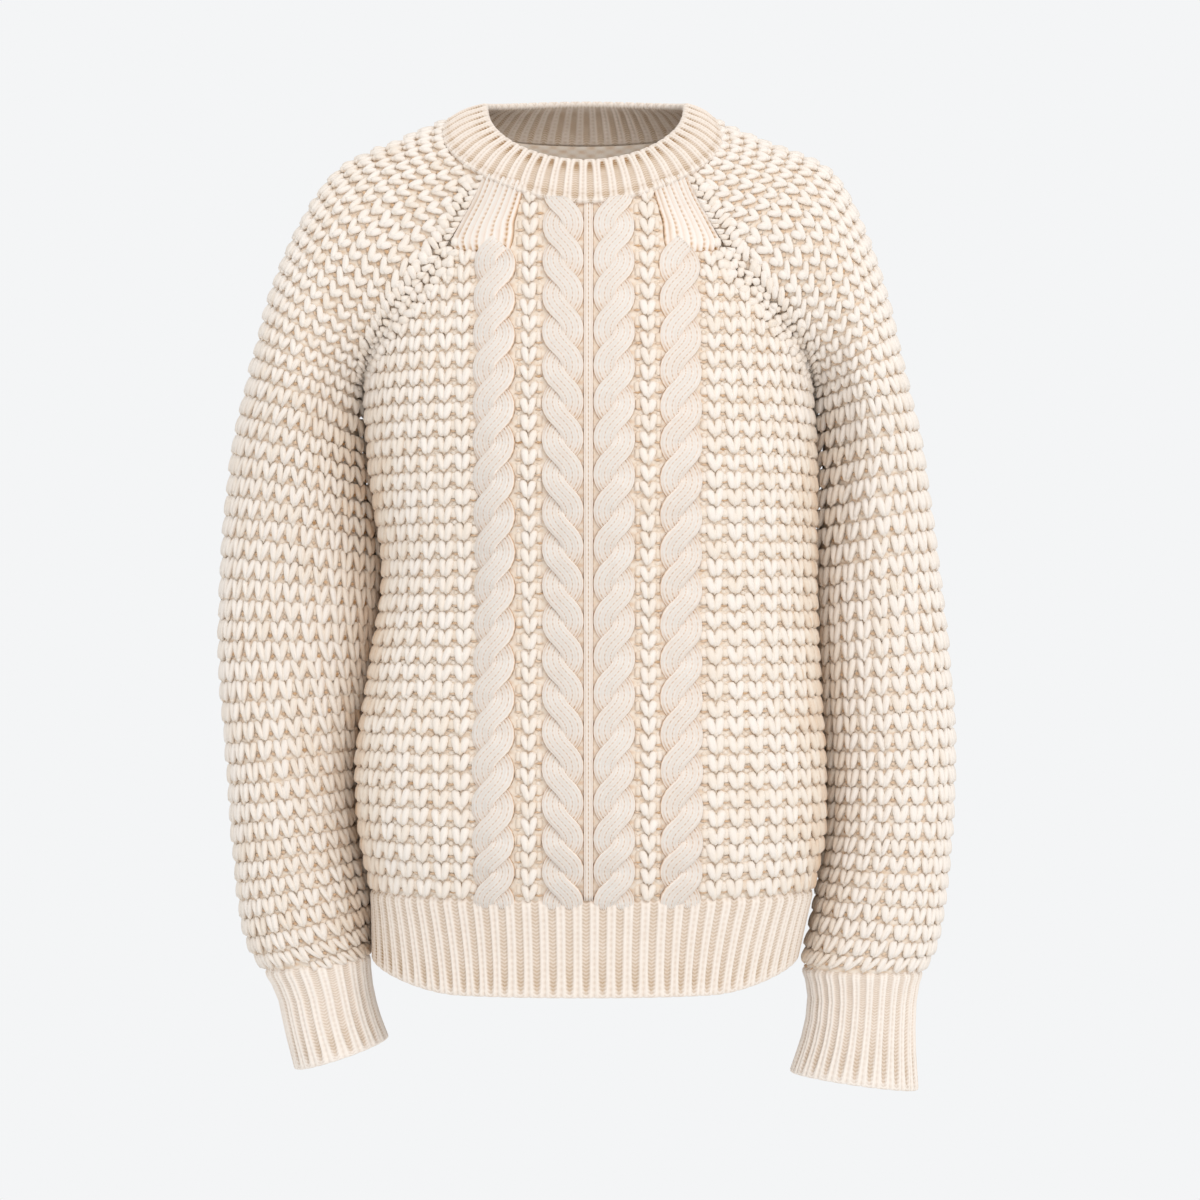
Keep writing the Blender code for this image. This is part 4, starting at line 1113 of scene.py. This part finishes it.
def ribPiece(name, outer, inner, u, node, closedRound, sunkTop=0.0, rim=0.0, tint=0.0,
             gapShade=0.0, endShade=0.17, ripple=0.5):
    # outer: rows of the outside from the seam to the free edge; inner: the same on the inside.
    # u counts ribs, with a gap at every whole number.
    share = rib["along"][:, None]
    middle = np.abs(u - np.floor(u) - 0.5)[None, :]
    ends = np.clip(np.minimum((share + 0.06) / 0.08, (1.0 - share) / 0.16), 0.0, 1.0)
    gapWidth = rib["gapWidth"] * (rib["gapAtEnds"] + (1.0 - rib["gapAtEnds"]) * ends)
    gap = smoothStep((gapWidth + middle - 0.5) / rib["gapSlope"] + 0.5)
    gap = gap * np.clip((1.0 - share) / 0.05, 0.0, 1.0)
    rise = -rib["gapDepth"] * gap - rib["groove"] * hump(middle, *rib["grooveAt"])
    rise = np.minimum(rise, 0.3 * rise - sunkTop * hump(share, *rib["sunkAt"], 4))
    scallop = 0.65 + 0.35 * np.cos(4.0 * np.pi * u)[None, :]
    rise = rise + rim * hump(share, *rib["rimAt"]) * scallop
    outward = unit(outer - inner)
    outside = outer + outward * rise[..., None]
    # the inside follows the ribs, and keeps at least a thin wall under the gaps
    wall = np.linalg.norm(outer - inner, axis=-1)
    under = ripple * rise * np.clip(share / 0.05, 0.0, 1.0) - wall
    under = np.minimum(under, rise - rib["thinnest"])
    inside = (outer + outward * under[..., None])[rib["inside"]]
    # the free edge is rounded
    edgeMiddle = (outside[-1] + inside[-1]) / 2.0
    along = unit(outer[-1] - outer[-2])
    half = np.linalg.norm(outside[-1] - inside[-1], axis=-1, keepdims=True) / 2.0
    out = (outside[-1] - inside[-1]) / (2.0 * half)
    lip = [edgeMiddle + out * half * math.cos(a) + along * half * math.sin(a) * 1.1
           for a in np.radians([45, 90, 135])]
    loop = np.concatenate([outside, np.stack(lip), inside[::-1], outside[:1]])
    length = np.linalg.norm(np.diff(outer[:, 0], axis=0), axis=-1).sum()
    v = np.concatenate([length * rib["along"], length + 0.001 * np.arange(1, 4),
                        length * rib["along"][rib["inside"]][::-1] + 0.004, [0.0]]) / rib["stitch"]
    shade = gap * (0.02 + gapShade + endShade * np.clip((share - 0.60) / 0.32, 0.0, 1.0))
    for x, (strength, *where), there in ((middle, rib["grooveShade"], True),
                                         (share, rib["rimShade"], rim > 0.0),
                                         (share, rib["sunkShade"], sunkTop > 0.0)):
        shade = shade + strength * hump(x, *where) * there
    hollow = np.concatenate([shade, gap[-1:] * np.full((3, 1), 0.2),
                             gap[rib["inside"]][::-1] * 0.15 + 0.2, gap[:1] * 0.3])
    uv = np.stack(np.broadcast_arrays(u[None, :] + 0.5, v[:, None]), axis=-1)
    mesh = gridMesh(loop, hollow, tint, uv, closedAcross=closedRound, closedAlong=True)
    return newObject(name, mesh, ribWool, [node])


def hemRib(name, facing, node):
    turns = np.linspace(-np.pi / 2, np.pi / 2, 1201)
    arc = lengthAlong(torsoPoint(-0.612, facing + turns))       # halfway down the hem
    arc -= arc[len(turns) // 2]
    count = int(round((arc[-1] - arc[0]) / rib["hemPitch"] * rib["samples"]))
    s = np.linspace(arc[0], arc[-1], count + 1)
    share = rib["along"][:, None]
    # the ribs lean inwards as they go down, and the corners at the side seams ride up
    aside = np.clip((np.abs(s) - rib["leanFrom"]) / (arc[-1] - rib["leanFrom"]), 0.0, 1.0)
    lean = np.sign(s) * rib["hemLean"] * np.sin(np.pi * aside)
    turn = np.interp(s[None, :] - lean[None, :] * share, arc, turns)
    low = body["hemZ"] + rib["edgeRound"]
    low = low + rib["cornerLift"] * smoothStep((np.abs(turn) - 0.75) / 0.82)
    points = torsoPoint(body["hemRibTopZ"] + (low - body["hemRibTopZ"]) * share, facing + turn)
    normals = gridNormals(points)
    if (normals[0, count // 2] * points[0, count // 2]).sum() < 0.0:
        normals = -normals
    u = (s - 0.0005) / rib["hemPitch"]
    shadeFrom = np.where(s < 0.0, 0.62, 0.82)      # the hem is shaded beside the arms
    beside = 0.03 + rib["cornerShade"] * smoothStep((np.abs(s) / arc[-1] - shadeFrom)
                                                    / (0.97 - shadeFrom))
    return ribPiece(name, points, points - normals * rib["wall"], u, node, False,
                    sunkTop=rib["sunkTop"], tint=beside[None, :], gapShade=0.22)


frontHem = hemRib("front_hem_rib_knit", 0.0, "front_hem_rib")
backHem = hemRib("back_hem_rib_knit", np.pi, "back_hem_rib")


def cuffRib(name, side, node, ribs):
    rows = sleeve["cuffRow"] + (sleeve["lastRow"] - 0.06 - sleeve["cuffRow"]) * rib["along"]
    fine = np.linspace(0.0, 1.0, 4 * rib["samples"] * ribs + 1)
    dense = sleevePoints(side, rows, fine)
    arc = lengthAlong(dense[len(rows) // 2])
    u = np.linspace(0.0, ribs, ribs * rib["samples"] + 1)
    at = np.interp(u / ribs, arc / arc[-1], fine)
    index = at * (len(fine) - 1)
    low = np.clip(index.astype(int), 0, len(fine) - 2)
    part = (index - low)[None, :, None]
    points = dense[:, low] * (1.0 - part) + dense[:, low + 1] * part
    normals = ringNormals(points, points - points.mean(axis=1, keepdims=True))
    # the cuffs are painted a little lighter, painted light for the dimmer light that reaches them
    return ribPiece(name, points, points - normals * rib["wall"], u, node, True,
                    sunkTop=rib["sunkTop"], tint=-0.06, gapShade=0.22)


rightCuff = cuffRib("right_cuff_knit", -1, "right_cuff", rib["rightCuffRibs"])
leftCuff = cuffRib("left_cuff_knit", 1, "left_cuff", rib["leftCuffRibs"])


def neckRing(angle):        # its seam, its fold at the top and the way outwards, all round
    turn = np.cos(angle)
    depth = np.where(turn > 0.0, neck["topFront"], neck["topBack"])
    fall = np.where(turn > 0.0, neck["fallFront"], neck["riseBack"])
    reach = ((np.sin(angle) / neck["topHalfWidth"]) ** 2 + (turn / depth) ** 2) ** -0.5
    upper = np.stack([reach * np.sin(angle), -reach * turn, neck["topSideZ"] - fall * turn],
                     axis=-1)
    out = np.stack([np.sin(angle), -turn, np.ones_like(turn)], axis=-1)
    return torsoPoint(neckSeamHeight(angle), angle), upper, out


def neckRib():
    fine = np.linspace(-np.pi, np.pi, 2401)
    lower, upper, _ = neckRing(fine)
    arc = lengthAlong((lower + upper) / 2.0)
    u = np.linspace(0.0, rib["neckRibs"], rib["neckRibs"] * rib["samples"] + 1)
    lower, upper, out = neckRing(np.interp(u / rib["neckRibs"], arc / arc[-1], fine))
    share = rib["along"][:, None, None]
    points = lower + (upper - lower) * share * rib["neckEnds"]
    points += out * neck["crown"] * np.sin(np.pi * share)
    normals = ringNormals(points, out)
    # the neckband is painted a little darker, painted shade against the full light that falls on it
    return ribPiece("neckband_knit", points, points - normals * rib["neckWall"], u, "neckband",
                    True, rim=rib["neckRim"], tint=0.09, gapShade=0.24, endShade=0.34,
                    ripple=-0.6)


neckPiece = neckRib()
print("ribs made")

# Studio: a pale floor far below, a pale room all round and one large soft light.
studio = {
    "floorZ": -1.50, "floorRadius": 3.2, "floorFades": (0.9, 3.1), "floorColour": "#eceded",
    "room": "#f4f5f6", "roomStrength": 1.0, "keyPlace": (1.2, -3.0, 1.5),
    "keyAim": (0.0, 0.0, -0.35), "keySize": 2.4, "keyPower": 44.0,
    "keyColour": (1.0, 0.985, 0.965),
}
bm = bmesh.new()
bmesh.ops.create_circle(bm, cap_ends=True, segments=96, radius=studio["floorRadius"])
bmesh.ops.translate(bm, verts=bm.verts, vec=(0.0, 0.0, studio["floorZ"]))
floorMesh = bpy.data.meshes.new("floor")
bm.to_mesh(floorMesh)
bm.free()
floor = bpy.data.objects.new("floor", floorMesh)
bpy.context.scene.collection.objects.link(floor)
paint = bpy.data.materials.new("matt_white_studio_floor")   # rolled emulsion paint, quite dull
paint.use_nodes = True
shader = paint.node_tree.nodes["Principled BSDF"]
shader.inputs["Roughness"].default_value = 0.95
shader.inputs["Base Color"].default_value = linear(studio["floorColour"])
spot = addNode(paint, "ShaderNodeTexCoord").outputs["Object"]
away = addNode(paint, "ShaderNodeVectorMath", [(spot, 0)], operation="MULTIPLY",
               in_1=(1.0, 1.0, 0.0))
away = addNode(paint, "ShaderNodeVectorMath", [(away.outputs[0], 0)], operation="LENGTH")
fadeFrom, fadeTo = studio["floorFades"]
fade = addNode(paint, "ShaderNodeMapRange", [(away.outputs["Value"], "Value")],
               interpolation_type="SMOOTHSTEP", in_From_Min=fadeFrom, in_From_Max=fadeTo,
               in_To_Min=1.0, in_To_Max=0.0)
paint.node_tree.links.new(fade.outputs["Result"], shader.inputs["Alpha"])
floorMesh.materials.append(paint)

room = bpy.data.worlds.new("studio")
room.use_nodes = True
sky = room.node_tree.nodes["Background"]
sky.inputs["Color"].default_value = linear(studio["room"])
sky.inputs["Strength"].default_value = studio["roomStrength"]
bpy.context.scene.world = room

key = bpy.data.lights.new("key_softbox", "AREA")
key.shape = "SQUARE"
key.size = studio["keySize"]
key.energy = studio["keyPower"]
key.color = studio["keyColour"]
keyObject = bpy.data.objects.new("key_softbox", key)
keyObject.location = studio["keyPlace"]
aim = Vector(studio["keyAim"]) - keyObject.location
keyObject.rotation_euler = aim.to_track_quat("-Z", "Y").to_euler()
bpy.context.scene.collection.objects.link(keyObject)
bpy.context.scene.view_settings.view_transform = "Standard"
print("studio set")
